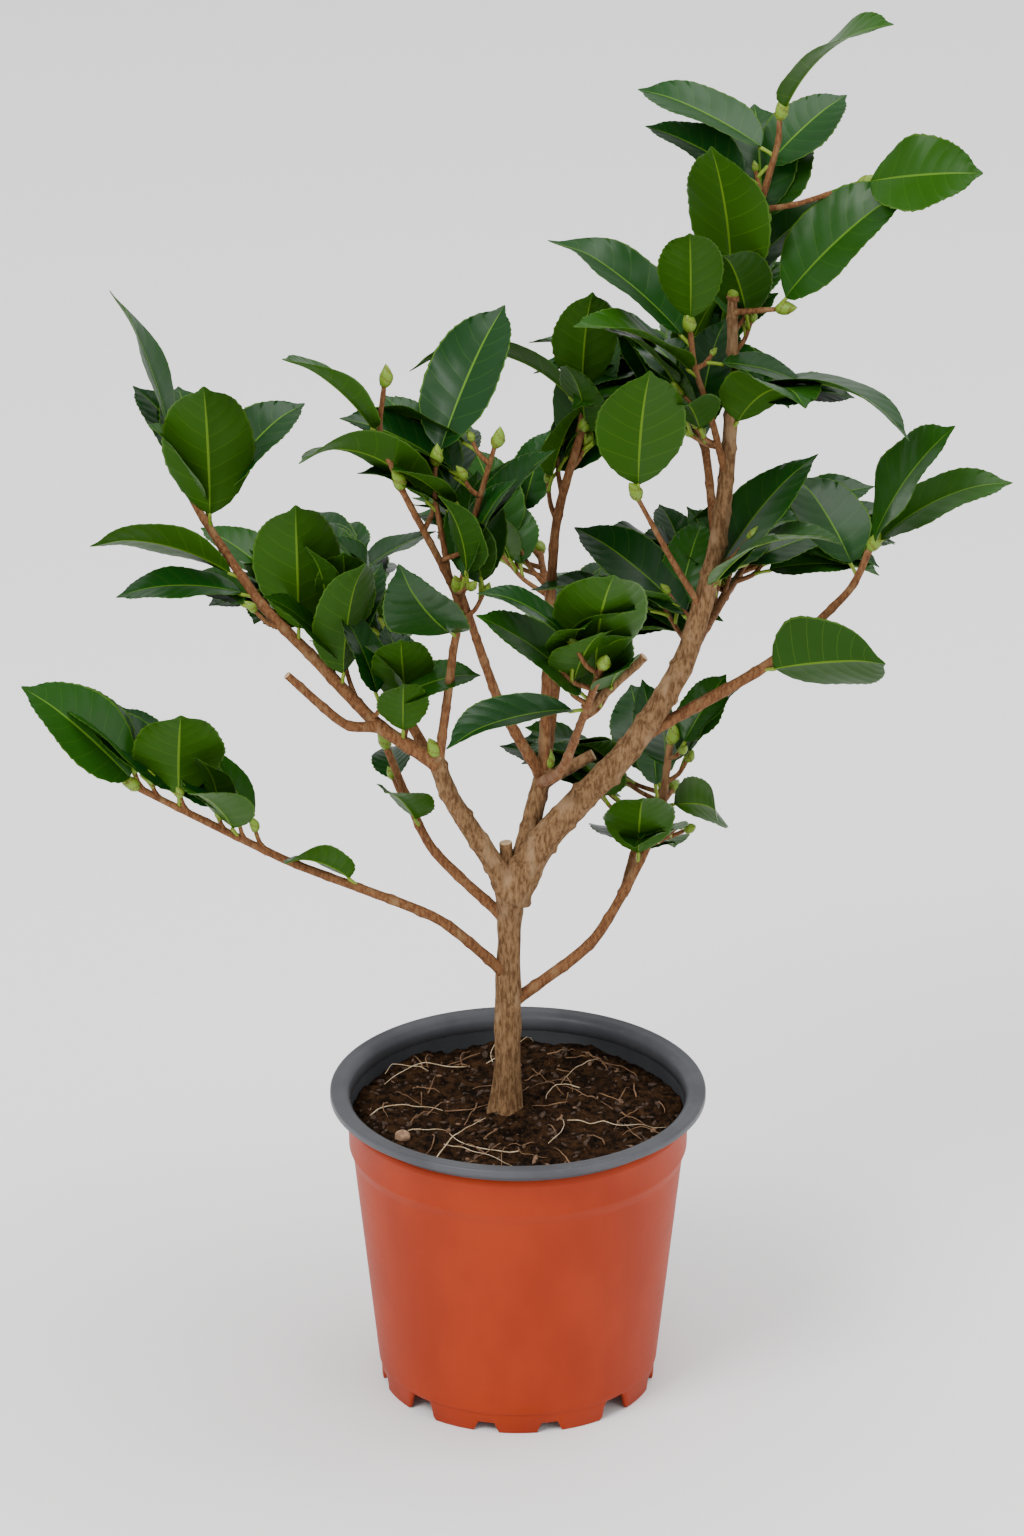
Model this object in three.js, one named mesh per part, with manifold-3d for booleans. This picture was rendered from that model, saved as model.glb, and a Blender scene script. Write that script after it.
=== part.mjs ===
/**
 * Camellia shrub in its plastic nursery pot, as a three.js scene graph of named closed meshes.
 *
 * Units are millimetres, +Z is up and the origin is on the pot's axis at the level it stands on.
 * The front of the plant faces -Y. A heading is an angle in plan, in degrees from +X towards +Y,
 * and a rise is an angle above the horizontal.
 */
import * as THREE from 'three';
import { mergeVertices } from 'three/addons/utils/BufferGeometryUtils.js';
import Module from 'manifold-3d';

const wasm = await Module();
wasm.setup();

// Pot
const GAP = 0.3; // between touching pieces
const RIM_RADIUS = 95; // the outside of the rolled rim, which sets the size of everything else
const RIM_TOP = 161;
const RIM_LIP = 4; // height of the rolled rim's outer face
const RIM_SLEEVE = 10; // depth of the rim's sleeve inside the wall
const RIM_THICKNESS = 1.6;
const RIM_MOUTH = 88.5; // radius where the mouth rounds over into the rim
const BAND_RADIUS = 86; // upper band, under the rim
const BAND_FOOT = 131; // height of the band's lower edge
const SHOULDER = 5; // height of the chamfer under the band
const WALL_SLOPE = 0.11;
const BASE_RADIUS = 70.8; // the wall's outside at the seam
const SEAM_HEIGHT = 11; // the seam over the feet, and the floor's underside
const WALL = 1.5;
const ROUND_STEPS = 36;
const FOOT_COUNT = 4;
const FOOT_HALF_ANGLE = 38;
const FOOT_RADIUS = 69.4;
const FOOT_DEPTH = 10; // from the outside towards the axis
const NOTCH_ANGLE = 13.5; // middle of each low notch, either side of a foot's middle
const NOTCH_HALF_ANGLE = 3.2;
const NOTCH_HEIGHT = 5;
const FOOT_RAMP = 2; // degrees over which a notch or a foot's end slopes

// Soil
const SOIL_TOP = 147;
const SOIL_LUMP = 2.2; // height of its lumps
const SOIL_RINGS = 3;
const SOIL_STEPS = 24;
const TRUNK_SOCKET = 5; // how far the trunk's flat cut sits in the soil

// Limbs
const THICK_SIDES = 8;
const THIN_SIDES = 6;
const THICK = 4.5; // the radius from which a limb has more sides
const STEP_LENGTH = 28; // between two rings of a limb
const KNEE = 0.18; // bulge of a limb at its base, as a part of its radius
const ENDS_FROM = 0.95; // a limb with a mass this far along ends where it enters the mass

// Foliage
const BLADE_WIDTH = 46;
const BLADE_THICKNESS = 13;
const BLADE_SIDES = 4;
const BLADE_RINGS = 2;
const HEART_SQUASH = 0.72; // height of a mass's heart over its width
const UNEVEN = 0.16; // how far a heart's surface wanders from an even one
const OUTER_RISE = 0.4; // rise of a fan's outermost blades, as a part of its middle one's
const OUTER_REACH = 0.7;

/**
 * The woody frame. A limb starts on another one, at a fraction of its length, and runs through
 * legs of [heading, rise, length]. Radii are at its base and its tip.
 */
const LIMBS = [
  {
    name: 'left_bough', on: 'trunk', at: 0.97, radii: [5.6, 4.2],
    legs: [[-155, 60, 65], [-150, 70, 25]],
  },
  {
    name: 'left_leader', on: 'left_bough', at: 0.96, radii: [3.6, 1.7],
    legs: [[180, 35, 35], [155, 40, 45], [155, 40, 40], [150, 50, 55], [165, 65, 30]],
  },
  {
    name: 'left_stub', on: 'left_leader', at: 0.17, radii: [2.6, 2],
    legs: [[-155, 15, 20], [-170, 45, 40]],
  },
  {
    name: 'centre_left_stem', on: 'left_bough', at: 0.94, radii: [2.4, 1.6],
    legs: [[-50, 80, 65], [-75, 75, 35], [-155, 65, 70]],
  },
  { name: 'middle_bough', on: 'trunk', at: 0.96, legs: [[30, 70, 30], [25, 75, 35]], radii: [5.4, 4.4] },
  {
    name: 'middle_left_limb', on: 'middle_bough', at: 0.94, radii: [3, 1.9],
    legs: [[-140, 60, 55], [-125, 65, 80]],
  },
  {
    name: 'centre_top_stem', on: 'middle_bough', at: 0.97, radii: [3.1, 2],
    legs: [[60, 85, 125], [25, 75, 55]],
  },
  {
    name: 'centre_front_stem', on: 'middle_bough', at: 0.9, radii: [2.8, 1.7],
    legs: [[-80, 30, 70], [-75, 50, 110]],
  },
  {
    name: 'leader', on: 'trunk', at: 0.95, radii: [8, 2.4],
    legs: [[-10, 60, 40], [-5, 50, 60], [0, 60, 55], [10, 75, 65], [0, 85, 70], [0, 90, 60]],
  },
  {
    name: 'right_branch', on: 'leader', at: 0.31, radii: [3.4, 1.7],
    legs: [[5, 30, 75], [0, 45, 55], [0, 65, 25]],
  },
  {
    name: 'low_left_limb', on: 'trunk', at: 0.6, radii: [2.9, 1.6],
    legs: [[-150, 45, 60], [-175, 25, 80], [-175, 30, 85]],
  },
  {
    name: 'inner_left_limb', on: 'trunk', at: 0.82, radii: [3, 1.8],
    legs: [[160, 40, 55], [160, 65, 55]],
  },
  {
    name: 'low_right_limb', on: 'trunk', at: 0.48, radii: [3.1, 1.8],
    legs: [[15, 35, 55], [20, 60, 65], [25, 80, 45]],
  },
  {
    name: 'back_left_limb', on: 'left_bough', at: 0.85, radii: [2.9, 1.7],
    legs: [[125, 35, 70], [105, -5, 95]],
  },
  {
    name: 'back_limb', on: 'middle_bough', at: 0.98, radii: [3, 1.7],
    legs: [[80, 50, 60], [95, 10, 95]],
  },
  {
    name: 'back_right_limb', on: 'leader', at: 0.44, radii: [2.9, 1.7],
    legs: [[70, 10, 60], [80, -10, 75]],
  },
  {
    name: 'back_top_limb', on: 'leader', at: 0.62, radii: [2.4, 1.5],
    legs: [[100, 50, 60], [110, 25, 60]],
  },
  {
    name: 'back_low_limb', on: 'low_right_limb', at: 0.5, radii: [2.1, 1.4],
    legs: [[80, 10, 50], [70, 5, 50]],
  },
];

/**
 * The masses of leaves. Each one's heart lies on a limb, at a fraction of its length and then
 * shifted by [x, y, z]. Its blades fan out round the heading that it faces, over a spread in
 * degrees. The middle blade has the full rise and reach, and those beside it less and less.
 */
const MASSES = [
  {
    name: 'left_top_leaves', on: 'left_leader', at: 0.97, shift: [10, 0, -10], heart: 30,
    faces: 180, spread: 300, blades: 5, rise: 60, reach: 90,
  },
  {
    name: 'left_outer_leaves', on: 'left_leader', at: 0.53, shift: [-5, 0, 10], heart: 25,
    faces: 180, spread: 180, blades: 3, rise: 10, reach: 70,
  },
  {
    name: 'left_middle_leaves', on: 'left_leader', at: 0.38, shift: [0, 0, 15], heart: 30,
    faces: -90, spread: 300, blades: 5, rise: 70, reach: 95,
  },
  {
    name: 'centre_left_top_leaves', on: 'centre_left_stem', at: 1, shift: [-5, 5, 20], heart: 30,
    faces: 180, spread: 300, blades: 5, rise: 35, reach: 80,
  },
  {
    name: 'centre_left_leaves', on: 'centre_left_stem', at: 0.8, shift: [25, -5, 15], heart: 30,
    faces: -45, spread: 300, blades: 5, rise: 45, reach: 75,
  },
  {
    name: 'centre_top_leaves', on: 'centre_top_stem', at: 1, shift: [10, 0, 10], heart: 30,
    faces: -135, spread: 300, blades: 5, rise: 50, reach: 90,
  },
  {
    name: 'crown_tip_leaves', on: 'leader', at: 1, shift: [15, 0, 55], heart: 30,
    faces: 0, spread: 300, blades: 5, rise: 50, reach: 120,
  },
  {
    name: 'crown_leaves', on: 'leader', at: 1, shift: [5, 0, 5], heart: 25,
    faces: -45, spread: 300, blades: 4, rise: 50, reach: 95,
  },
  {
    name: 'leader_left_leaves', on: 'leader', at: 0.88, shift: [-15, -25, 0], heart: 30,
    faces: -150, spread: 240, blades: 4, rise: 50, reach: 85,
  },
  {
    name: 'leader_right_leaves', on: 'leader', at: 0.87, shift: [10, -20, 0], heart: 25,
    faces: -15, spread: 240, blades: 4, rise: 5, reach: 85,
  },
  {
    name: 'centre_front_leaves', on: 'centre_front_stem', at: 1, shift: [-5, 0, 5], heart: 30,
    faces: -90, spread: 300, blades: 5, rise: 50, reach: 95,
  },
  {
    name: 'centre_low_leaves', on: 'centre_front_stem', at: 0.22, shift: [10, 10, 5], heart: 15,
    faces: -105, spread: 240, blades: 3, rise: 0, reach: 50,
  },
  {
    name: 'leader_low_leaves', on: 'leader', at: 0.53, shift: [-5, 10, 5], heart: 30,
    faces: 0, spread: 300, blades: 5, rise: 45, reach: 75,
  },
  {
    name: 'right_leaves', on: 'right_branch', at: 0.62, shift: [-15, -5, -15], heart: 20,
    faces: -45, spread: 240, blades: 3, rise: 25, reach: 50,
  },
  {
    name: 'right_top_leaves', on: 'right_branch', at: 1, shift: [-10, 0, -5], heart: 30,
    faces: 0, spread: 270, blades: 5, rise: 40, reach: 95,
  },
  {
    name: 'low_right_leaves', on: 'low_right_limb', at: 1, shift: [10, 0, 10], heart: 20,
    faces: 0, spread: 300, blades: 3, rise: 45, reach: 50,
  },
  {
    name: 'fork_leaves', on: 'low_right_limb', at: 0.62, shift: [0, -5, 10], heart: 12,
    faces: -90, spread: 240, blades: 3, rise: 20, reach: 40,
  },
  {
    name: 'low_left_tip_leaves', on: 'low_left_limb', at: 1, shift: [-10, 0, 20], heart: 20,
    faces: 180, spread: 240, blades: 3, rise: 50, reach: 65,
  },
  {
    name: 'low_left_leaves', on: 'low_left_limb', at: 0.84, shift: [5, 0, 20], heart: 20,
    faces: -90, spread: 270, blades: 3, rise: 40, reach: 55,
  },
  {
    name: 'low_left_inner_leaves', on: 'low_left_limb', at: 0.52, shift: [0, 0, 5], heart: 12,
    faces: -120, spread: 180, blades: 3, rise: 5, reach: 35,
  },
  {
    name: 'inner_left_leaves', on: 'inner_left_limb', at: 0.9, shift: [0, 0, 0], heart: 13,
    faces: -90, spread: 240, blades: 3, rise: 20, reach: 35,
  },
  {
    name: 'inner_middle_leaves', on: 'left_leader', at: 0.14, shift: [10, -5, 25], heart: 18,
    faces: -120, spread: 180, blades: 3, rise: 60, reach: 70,
  },
  {
    name: 'back_left_leaves', on: 'back_left_limb', at: 1, shift: [0, -10, 0], heart: 28,
    faces: 105, spread: 270, blades: 4, rise: 25, reach: 65,
  },
  {
    name: 'back_leaves', on: 'back_limb', at: 1, shift: [0, -10, 0], heart: 30,
    faces: 90, spread: 270, blades: 5, rise: 30, reach: 65,
  },
  {
    name: 'back_right_leaves', on: 'back_right_limb', at: 1, shift: [5, -5, 0], heart: 28,
    faces: 60, spread: 270, blades: 4, rise: 25, reach: 65,
  },
  {
    name: 'back_top_leaves', on: 'back_top_limb', at: 1, shift: [0, -5, 0], heart: 25,
    faces: 90, spread: 240, blades: 3, rise: 35, reach: 60,
  },
  {
    name: 'back_low_leaves', on: 'back_low_limb', at: 1, shift: [0, -5, 0], heart: 20,
    faces: 75, spread: 240, blades: 3, rise: 20, reach: 55,
  },
];

const LOOKS = {
  terracotta: { color: 0xa8502c, roughness: 0.55, metalness: 0 },
  greyPlastic: { color: 0x63666b, roughness: 0.5, metalness: 0 },
  soil: { color: 0x3a2a20, roughness: 1, metalness: 0 },
  oldBark: { color: 0x6f5a45, roughness: 0.9, metalness: 0 },
  youngBark: { color: 0x7d5638, roughness: 0.8, metalness: 0 },
  foliage: { color: 0x35502f, roughness: 0.5, metalness: 0 },
};

const radians = THREE.MathUtils.degToRad;

/** A smooth wander between -1 and 1 that depends only on the place it is asked for. */
function wander(x, y, z) {
  return (Math.sin(x * 1.7 + y * 0.6) + Math.sin(y * 2.1 - z * 0.9) + Math.sin(z * 1.3 + x * 1.1)) / 3;
}

/** The vector of a length along a heading and a rise. */
function polar(heading, rise, length) {
  const level = length * Math.cos(radians(rise));
  return new THREE.Vector3(
    level * Math.cos(radians(heading)),
    level * Math.sin(radians(heading)),
    length * Math.sin(radians(rise)),
  );
}

/** A manifold solid from a closed three.js geometry. */
function solidOf(geometry) {
  const bare = geometry.index ? geometry : geometry.clone();
  for (const name of Object.keys(bare.attributes)) {
    if (name !== 'position') bare.deleteAttribute(name);
  }
  const merged = mergeVertices(bare, 1e-4);
  return new wasm.Manifold(new wasm.Mesh({
    numProp: 3,
    vertProperties: new Float32Array(merged.attributes.position.array),
    triVerts: new Uint32Array(merged.index.array),
  }));
}

/** A three.js geometry from a manifold solid. */
function geometryOf(solid) {
  const mesh = solid.getMesh();
  const geometry = new THREE.BufferGeometry();
  geometry.setAttribute('position', new THREE.BufferAttribute(mesh.vertProperties, 3));
  geometry.setIndex(new THREE.BufferAttribute(mesh.triVerts, 1));
  geometry.computeVertexNormals();
  return geometry;
}

/** The biggest of the separate bodies that a cut leaves. */
function biggest(solid) {
  return solid.decompose().reduce((best, piece) => (piece.volume() > best.volume() ? piece : best));
}

/** A closed skin over rings with the same number of points, with a flat fan over each end. */
function skin(rings) {
  const sides = rings[0].length;
  const middle = (ring) => ring.reduce((sum, p) => sum.add(p), new THREE.Vector3()).divideScalar(sides);
  const points = [...rings.flat(), middle(rings[0]), middle(rings.at(-1))];
  const last = (rings.length - 1) * sides;
  const index = [];
  for (let i = 0; i < sides; i += 1) {
    const j = (i + 1) % sides;
    for (let low = 0; low < last; low += sides) {
      index.push(low + i, low + j, low + sides + j, low + i, low + sides + j, low + sides + i);
    }
    index.push(points.length - 2, j, i, points.length - 1, last + i, last + j);
  }
  const geometry = new THREE.BufferGeometry().setFromPoints(points);
  geometry.setIndex(index);
  return geometry;
}

/** A solid turned round the pot's axis from a closed profile of [radius, height] points. */
function turned(profile) {
  const points = profile.map(([radius, height]) => new THREE.Vector2(radius, height));
  const geometry = new THREE.LatheGeometry(points, ROUND_STEPS);
  geometry.rotateX(Math.PI / 2);
  return solidOf(geometry);
}

/** The wall's outer radius at a height under the band. */
function wallRadius(height) {
  return BASE_RADIUS + WALL_SLOPE * (height - SEAM_HEIGHT);
}

/** The terracotta cup: floor, tapering wall, chamfered shoulder and upright band. */
function potWall() {
  const top = RIM_TOP - RIM_SLEEVE;
  const shoulder = BAND_FOOT - SHOULDER;
  return turned([
    [0, SEAM_HEIGHT],
    [BASE_RADIUS, SEAM_HEIGHT],
    [wallRadius(shoulder), shoulder],
    [BAND_RADIUS - 0.6, BAND_FOOT],
    [BAND_RADIUS, top],
    [BAND_RADIUS - WALL, top],
    [BAND_RADIUS - 0.6 - WALL, BAND_FOOT],
    [wallRadius(shoulder) - WALL, shoulder],
    [BASE_RADIUS - WALL, SEAM_HEIGHT + WALL],
    [0, SEAM_HEIGHT + WALL],
  ]);
}

/** The grey rolled rim, a hook in section, on a sleeve that stands on the wall. */
function potRim() {
  const foot = RIM_TOP - RIM_SLEEVE + GAP;
  const mouth = BAND_RADIUS - WALL;
  return turned([
    [mouth, foot],
    [BAND_RADIUS, foot],
    [RIM_MOUTH, RIM_TOP - RIM_THICKNESS - 1],
    [RIM_RADIUS - RIM_THICKNESS, RIM_TOP - RIM_THICKNESS],
    [RIM_RADIUS - RIM_THICKNESS, RIM_TOP - RIM_LIP],
    [RIM_RADIUS, RIM_TOP - RIM_LIP],
    [RIM_RADIUS, RIM_TOP - 1],
    [RIM_RADIUS - 1.4, RIM_TOP],
    [RIM_MOUTH, RIM_TOP],
    [mouth, foot],
  ]);
}

/** How high the underside of a foot is over the ground, at an angle from the foot's middle. */
function footUnderside(angle) {
  const off = Math.abs(angle);
  const top = SEAM_HEIGHT - GAP;
  const intoNotch = (NOTCH_HALF_ANGLE + FOOT_RAMP - Math.abs(off - NOTCH_ANGLE)) / FOOT_RAMP;
  const notch = NOTCH_HEIGHT * THREE.MathUtils.clamp(intoNotch, 0, 1);
  const end = 0.7 * top * THREE.MathUtils.clamp((off - FOOT_HALF_ANGLE) / FOOT_RAMP + 1, 0, 1);
  return Math.max(notch, end);
}

/** One foot of the pot: a sector of a ring under the wall, with two low notches. */
function potFoot(heading) {
  const notchEdges = [-1, 1].flatMap((side) => [
    side * NOTCH_ANGLE - NOTCH_HALF_ANGLE - FOOT_RAMP,
    side * NOTCH_ANGLE - NOTCH_HALF_ANGLE,
    side * NOTCH_ANGLE + NOTCH_HALF_ANGLE,
    side * NOTCH_ANGLE + NOTCH_HALF_ANGLE + FOOT_RAMP,
  ]);
  const ends = [-1, 1].flatMap((side) => [side * FOOT_HALF_ANGLE, side * (FOOT_HALF_ANGLE - FOOT_RAMP)]);
  const between = [-27, 27];
  const angles = [...notchEdges, ...ends, ...between].sort((a, b) => a - b);
  const rings = angles.map((angle) => {
    const turn = radians(heading + angle);
    const [east, north] = [Math.cos(turn), Math.sin(turn)];
    const at = (radius, height) => new THREE.Vector3(radius * east, radius * north, height);
    return [
      at(FOOT_RADIUS - FOOT_DEPTH, SEAM_HEIGHT - GAP),
      at(FOOT_RADIUS, SEAM_HEIGHT - GAP),
      at(FOOT_RADIUS, footUnderside(angle)),
      at(FOOT_RADIUS - FOOT_DEPTH, footUnderside(angle)),
    ];
  });
  return solidOf(skin(rings));
}

/** The soil: a plug that fills the cup, with a lumpy top. */
function soilPlug() {
  const floor = SEAM_HEIGHT + WALL + GAP;
  const inside = WALL + GAP;
  const shoulder = BAND_FOOT - SHOULDER;
  const edge = BAND_RADIUS - inside - 0.9;
  const sides = [
    [wallRadius(floor) - inside - 0.3, floor],
    [wallRadius(shoulder) - inside - 0.3, shoulder],
    [edge, BAND_FOOT + 1],
  ];
  const top = Array.from({ length: SOIL_RINGS }, (_, i) => edge * (1 - i / SOIL_RINGS));
  const ring = (radius, height, lump) => Array.from({ length: SOIL_STEPS }, (_, i) => {
    const turn = (2 * Math.PI * i) / SOIL_STEPS;
    const [x, y] = [radius * Math.cos(turn), radius * Math.sin(turn)];
    return new THREE.Vector3(x, y, height + lump * wander(x / 9, y / 9, radius / 13));
  });
  return solidOf(skin([
    ...sides.map(([radius, height]) => ring(radius, height, 0)),
    ...top.map((radius) => ring(radius, SOIL_TOP, SOIL_LUMP)),
  ]));
}

/** The line that a limb follows: a smooth curve through the ends of its legs. */
function limbPath(start, legs) {
  const points = [start];
  for (const [heading, rise, length] of legs) {
    points.push(points.at(-1).clone().add(polar(heading, rise, length)));
  }
  return new THREE.CatmullRomCurve3(points, false, 'catmullrom', 0.35);
}

/** A round limb along a path, with its radius given by a function of the fraction along it. */
function limbSolid(path, radiusAt) {
  const steps = Math.max(3, Math.round(path.getLength() / STEP_LENGTH));
  const sides = radiusAt(0.5) > THICK ? THICK_SIDES : THIN_SIDES;
  const rings = Array.from({ length: steps + 1 }, (_, i) => {
    const along = i / steps;
    const centre = path.getPointAt(along);
    const ahead = path.getTangentAt(along);
    const side = new THREE.Vector3(0, -1, 0).cross(ahead).normalize();
    const across = ahead.clone().cross(side);
    return Array.from({ length: sides }, (__, k) => {
      const turn = (2 * Math.PI * k) / sides;
      return centre.clone()
        .addScaledVector(side, radiusAt(along) * Math.cos(turn))
        .addScaledVector(across, radiusAt(along) * Math.sin(turn));
    });
  });
  return solidOf(skin(rings));
}

/** The trunk's path, from its flat cut in the soil to the fork, leaning a little to the left. */
function trunkPath() {
  const points = [[-6, 0, 0], [-6, 0, 10], [-5, 0, 40], [-5, 2, 80], [-4, 2, 110], [-4, 0, 134]];
  const foot = SOIL_TOP - TRUNK_SOCKET;
  return new THREE.CatmullRomCurve3(points.map(([x, y, z]) => new THREE.Vector3(x, y, foot + z)));
}

/** The trunk's radius: a root flare, a slow taper, and a swelling where the boughs part. */
function trunkRadius(along) {
  const flare = 4.2 * Math.exp(-along / 0.12);
  const taper = 7.2 - 1.6 * along;
  const fork = 3.2 * Math.exp(-(((along - 1) / 0.1) ** 2));
  return flare + taper + fork;
}

/** The trunk with its foot cut flat. */
function trunkSolid(path, grow) {
  const whole = limbSolid(path, (along) => trunkRadius(along) + grow);
  return whole.trimByPlane([0, 0, 1], SOIL_TOP - TRUNK_SOCKET - grow);
}

/** A flattened leaf-like lobe from a point along a reach. */
function blade(from, reach, grow) {
  const geometry = new THREE.SphereGeometry(1, BLADE_SIDES, BLADE_RINGS);
  const half = reach.clone().multiplyScalar(0.5);
  const length = half.length();
  const ahead = half.clone().normalize();
  const across = new THREE.Vector3(0, 0, 1).cross(ahead).normalize();
  const out = across.clone().cross(ahead);
  const place = new THREE.Matrix4().makeBasis(
    across.multiplyScalar(BLADE_WIDTH / 2 + grow),
    ahead.multiplyScalar(length + grow),
    out.multiplyScalar(BLADE_THICKNESS / 2 + grow),
  );
  place.setPosition(from.clone().add(half));
  geometry.applyMatrix4(place);
  if (place.determinant() < 0) geometry.index.array.reverse();
  return solidOf(geometry);
}

/** The reaches of a mass's blades: an even fan about the heading it faces. */
function fan({ faces, spread, blades, rise, reach }) {
  return Array.from({ length: blades }, (_, i) => {
    const off = (2 * i) / (blades - 1) - 1;
    return polar(
      faces + (spread / 2) * off,
      rise * THREE.MathUtils.lerp(1, OUTER_RISE, Math.abs(off)),
      reach * THREE.MathUtils.lerp(1, OUTER_REACH, Math.abs(off)),
    );
  });
}

/** A mass of leaves: an uneven heart with its fan of blades. */
function massSolid(centre, mass, grow) {
  const core = new THREE.IcosahedronGeometry(1);
  const place = core.attributes.position;
  const point = new THREE.Vector3();
  for (let i = 0; i < place.count; i += 1) {
    point.fromBufferAttribute(place, i);
    const wide = mass.heart * (1 + UNEVEN * wander(point.x * 3 + centre.x, point.y * 3, point.z * 3)) + grow;
    point.multiplyScalar(wide).multiply(new THREE.Vector3(1, 1, HEART_SQUASH)).add(centre);
    place.setXYZ(i, point.x, point.y, point.z);
  }
  return fan(mass).reduce((whole, reach) => whole.add(blade(centre, reach, grow)), solidOf(core));
}

/** A named mesh of a solid in one of the looks. */
function named(name, solid, look) {
  const mesh = new THREE.Mesh(geometryOf(solid), new THREE.MeshStandardMaterial(LOOKS[look]));
  mesh.name = name;
  return mesh;
}

/** Cuts a solid by every cutter whose box meets its own. */
function cutBy(solid, cutters) {
  const meets = (a, b) => [0, 1, 2].every((i) => a.min[i] < b.max[i] && b.min[i] < a.max[i]);
  const box = solid.boundingBox();
  const near = cutters.filter((cutter) => meets(box, cutter.boundingBox()));
  return near.reduce((left, cutter) => left.subtract(cutter), solid);
}

/** True for a limb that carries no mass short of its end, so that it stops where it enters that one. */
function endsInFoliage(name) {
  const carried = MASSES.filter((mass) => mass.on === name);
  return carried.length > 0 && carried.every((mass) => mass.at >= ENDS_FROM);
}

const group = new THREE.Group();
group.add(named('pot_wall', potWall(), 'terracotta'));
group.add(named('pot_rim', potRim(), 'greyPlastic'));
for (let i = 0; i < FOOT_COUNT; i += 1) {
  group.add(named(`pot_foot_${i + 1}`, potFoot((360 / FOOT_COUNT) * i - 90), 'terracotta'));
}

const paths = { trunk: trunkPath() };
const trunkCutter = trunkSolid(paths.trunk, GAP);
group.add(named('soil', biggest(soilPlug().subtract(trunkCutter)), 'soil'));
group.add(named('trunk', trunkSolid(paths.trunk, 0), 'oldBark'));

const wood = [trunkCutter]; // cuts each later limb
const through = [trunkCutter]; // cuts the masses, as they grow round it
const ending = [];
for (const { name, on, at, legs, radii: [base, tip] } of LIMBS) {
  const path = limbPath(paths[on].getPointAt(at), legs);
  const radiusAt = (along) => THREE.MathUtils.lerp(base, tip, along) * (1 + KNEE * Math.exp(-along / 0.06));
  paths[name] = path;
  const limb = biggest(cutBy(limbSolid(path, radiusAt), wood));
  const cutter = limbSolid(path, (along) => radiusAt(along) + GAP);
  wood.push(cutter);
  if (endsInFoliage(name)) {
    ending.push({ name, limb });
  } else {
    through.push(cutter);
    group.add(named(name, limb, 'youngBark'));
  }
}

const foliage = [];
for (const mass of MASSES) {
  const centre = paths[mass.on].getPointAt(mass.at).add(new THREE.Vector3(...mass.shift));
  const leaves = biggest(cutBy(massSolid(centre, mass, 0), [...through, ...foliage]));
  group.add(named(mass.name, leaves, 'foliage'));
  foliage.push(massSolid(centre, mass, GAP));
}
for (const { name, limb } of ending) {
  group.add(named(name, biggest(cutBy(limb, foliage)), 'youngBark'));
}

export default group;
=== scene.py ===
"""Camellia shrub in its plastic nursery pot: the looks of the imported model.

Lengths are in millimetres in the sizes and become metres when a mesh is made. +Z is up, the front
of the plant faces -Y and the origin is on the pot's axis at the level it stands on. A heading is
an angle in plan from +X towards +Y and a rise is an angle above the horizontal, both in degrees.
"""

from __future__ import annotations

import logging
import math
from dataclasses import dataclass, field
from enum import Enum
from typing import Any, Callable, ClassVar

import bmesh
import bpy
import numpy as np
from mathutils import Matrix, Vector
from mathutils.bvhtree import BVHTree


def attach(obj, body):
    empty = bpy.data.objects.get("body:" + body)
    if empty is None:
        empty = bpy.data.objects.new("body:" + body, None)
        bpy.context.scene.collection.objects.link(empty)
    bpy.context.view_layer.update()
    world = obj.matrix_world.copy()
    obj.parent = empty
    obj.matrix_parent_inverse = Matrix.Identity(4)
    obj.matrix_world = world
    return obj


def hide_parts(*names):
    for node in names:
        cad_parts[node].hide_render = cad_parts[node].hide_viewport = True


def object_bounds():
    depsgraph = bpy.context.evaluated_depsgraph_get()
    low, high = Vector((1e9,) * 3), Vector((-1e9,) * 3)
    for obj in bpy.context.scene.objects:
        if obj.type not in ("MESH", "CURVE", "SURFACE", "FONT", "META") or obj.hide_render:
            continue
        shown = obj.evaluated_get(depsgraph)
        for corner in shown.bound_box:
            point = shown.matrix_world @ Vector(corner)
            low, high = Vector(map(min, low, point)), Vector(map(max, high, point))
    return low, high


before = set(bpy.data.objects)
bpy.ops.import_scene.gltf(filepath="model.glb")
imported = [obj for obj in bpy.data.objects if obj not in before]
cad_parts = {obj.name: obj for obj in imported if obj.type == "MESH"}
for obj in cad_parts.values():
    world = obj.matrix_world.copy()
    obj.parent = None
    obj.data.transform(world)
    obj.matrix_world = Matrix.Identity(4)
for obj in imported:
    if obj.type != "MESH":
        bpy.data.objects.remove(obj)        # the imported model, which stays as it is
CAD_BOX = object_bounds()

MM = 0.001
SEED = 20417
LOG = logging.getLogger("camellia")
Array = np.ndarray


# ---------------------------------------------------------------- numbers and surfaces


def polar(heading: float | Array, rise: float | Array, length: float | Array = 1.0) -> Array:
    """The vector of a length along a heading and a rise.

    Args:
        heading: angle in plan, in degrees.
        rise: angle above the horizontal, in degrees.
        length: how long the vector is.

    Returns:
        Its x, y and z on the last axis.
    """
    turn, lift = np.radians(heading), np.radians(rise)
    level = np.asarray(length) * np.cos(lift)
    return np.stack([level * np.cos(turn), level * np.sin(turn), length * np.sin(lift)], -1)


def unit(vectors: Array) -> Array:
    """Vectors scaled to a length of one."""
    return vectors / np.maximum(np.linalg.norm(vectors, axis=-1, keepdims=True), 1e-9)


def smooth(edge_low: float, edge_high: float, value: Array) -> Array:
    """Rises from 0 to 1 between two edges as 3t^2 - 2t^3."""
    t = np.clip((value - edge_low) / (edge_high - edge_low), 0.0, 1.0)
    return t * t * (3.0 - 2.0 * t)


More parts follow.
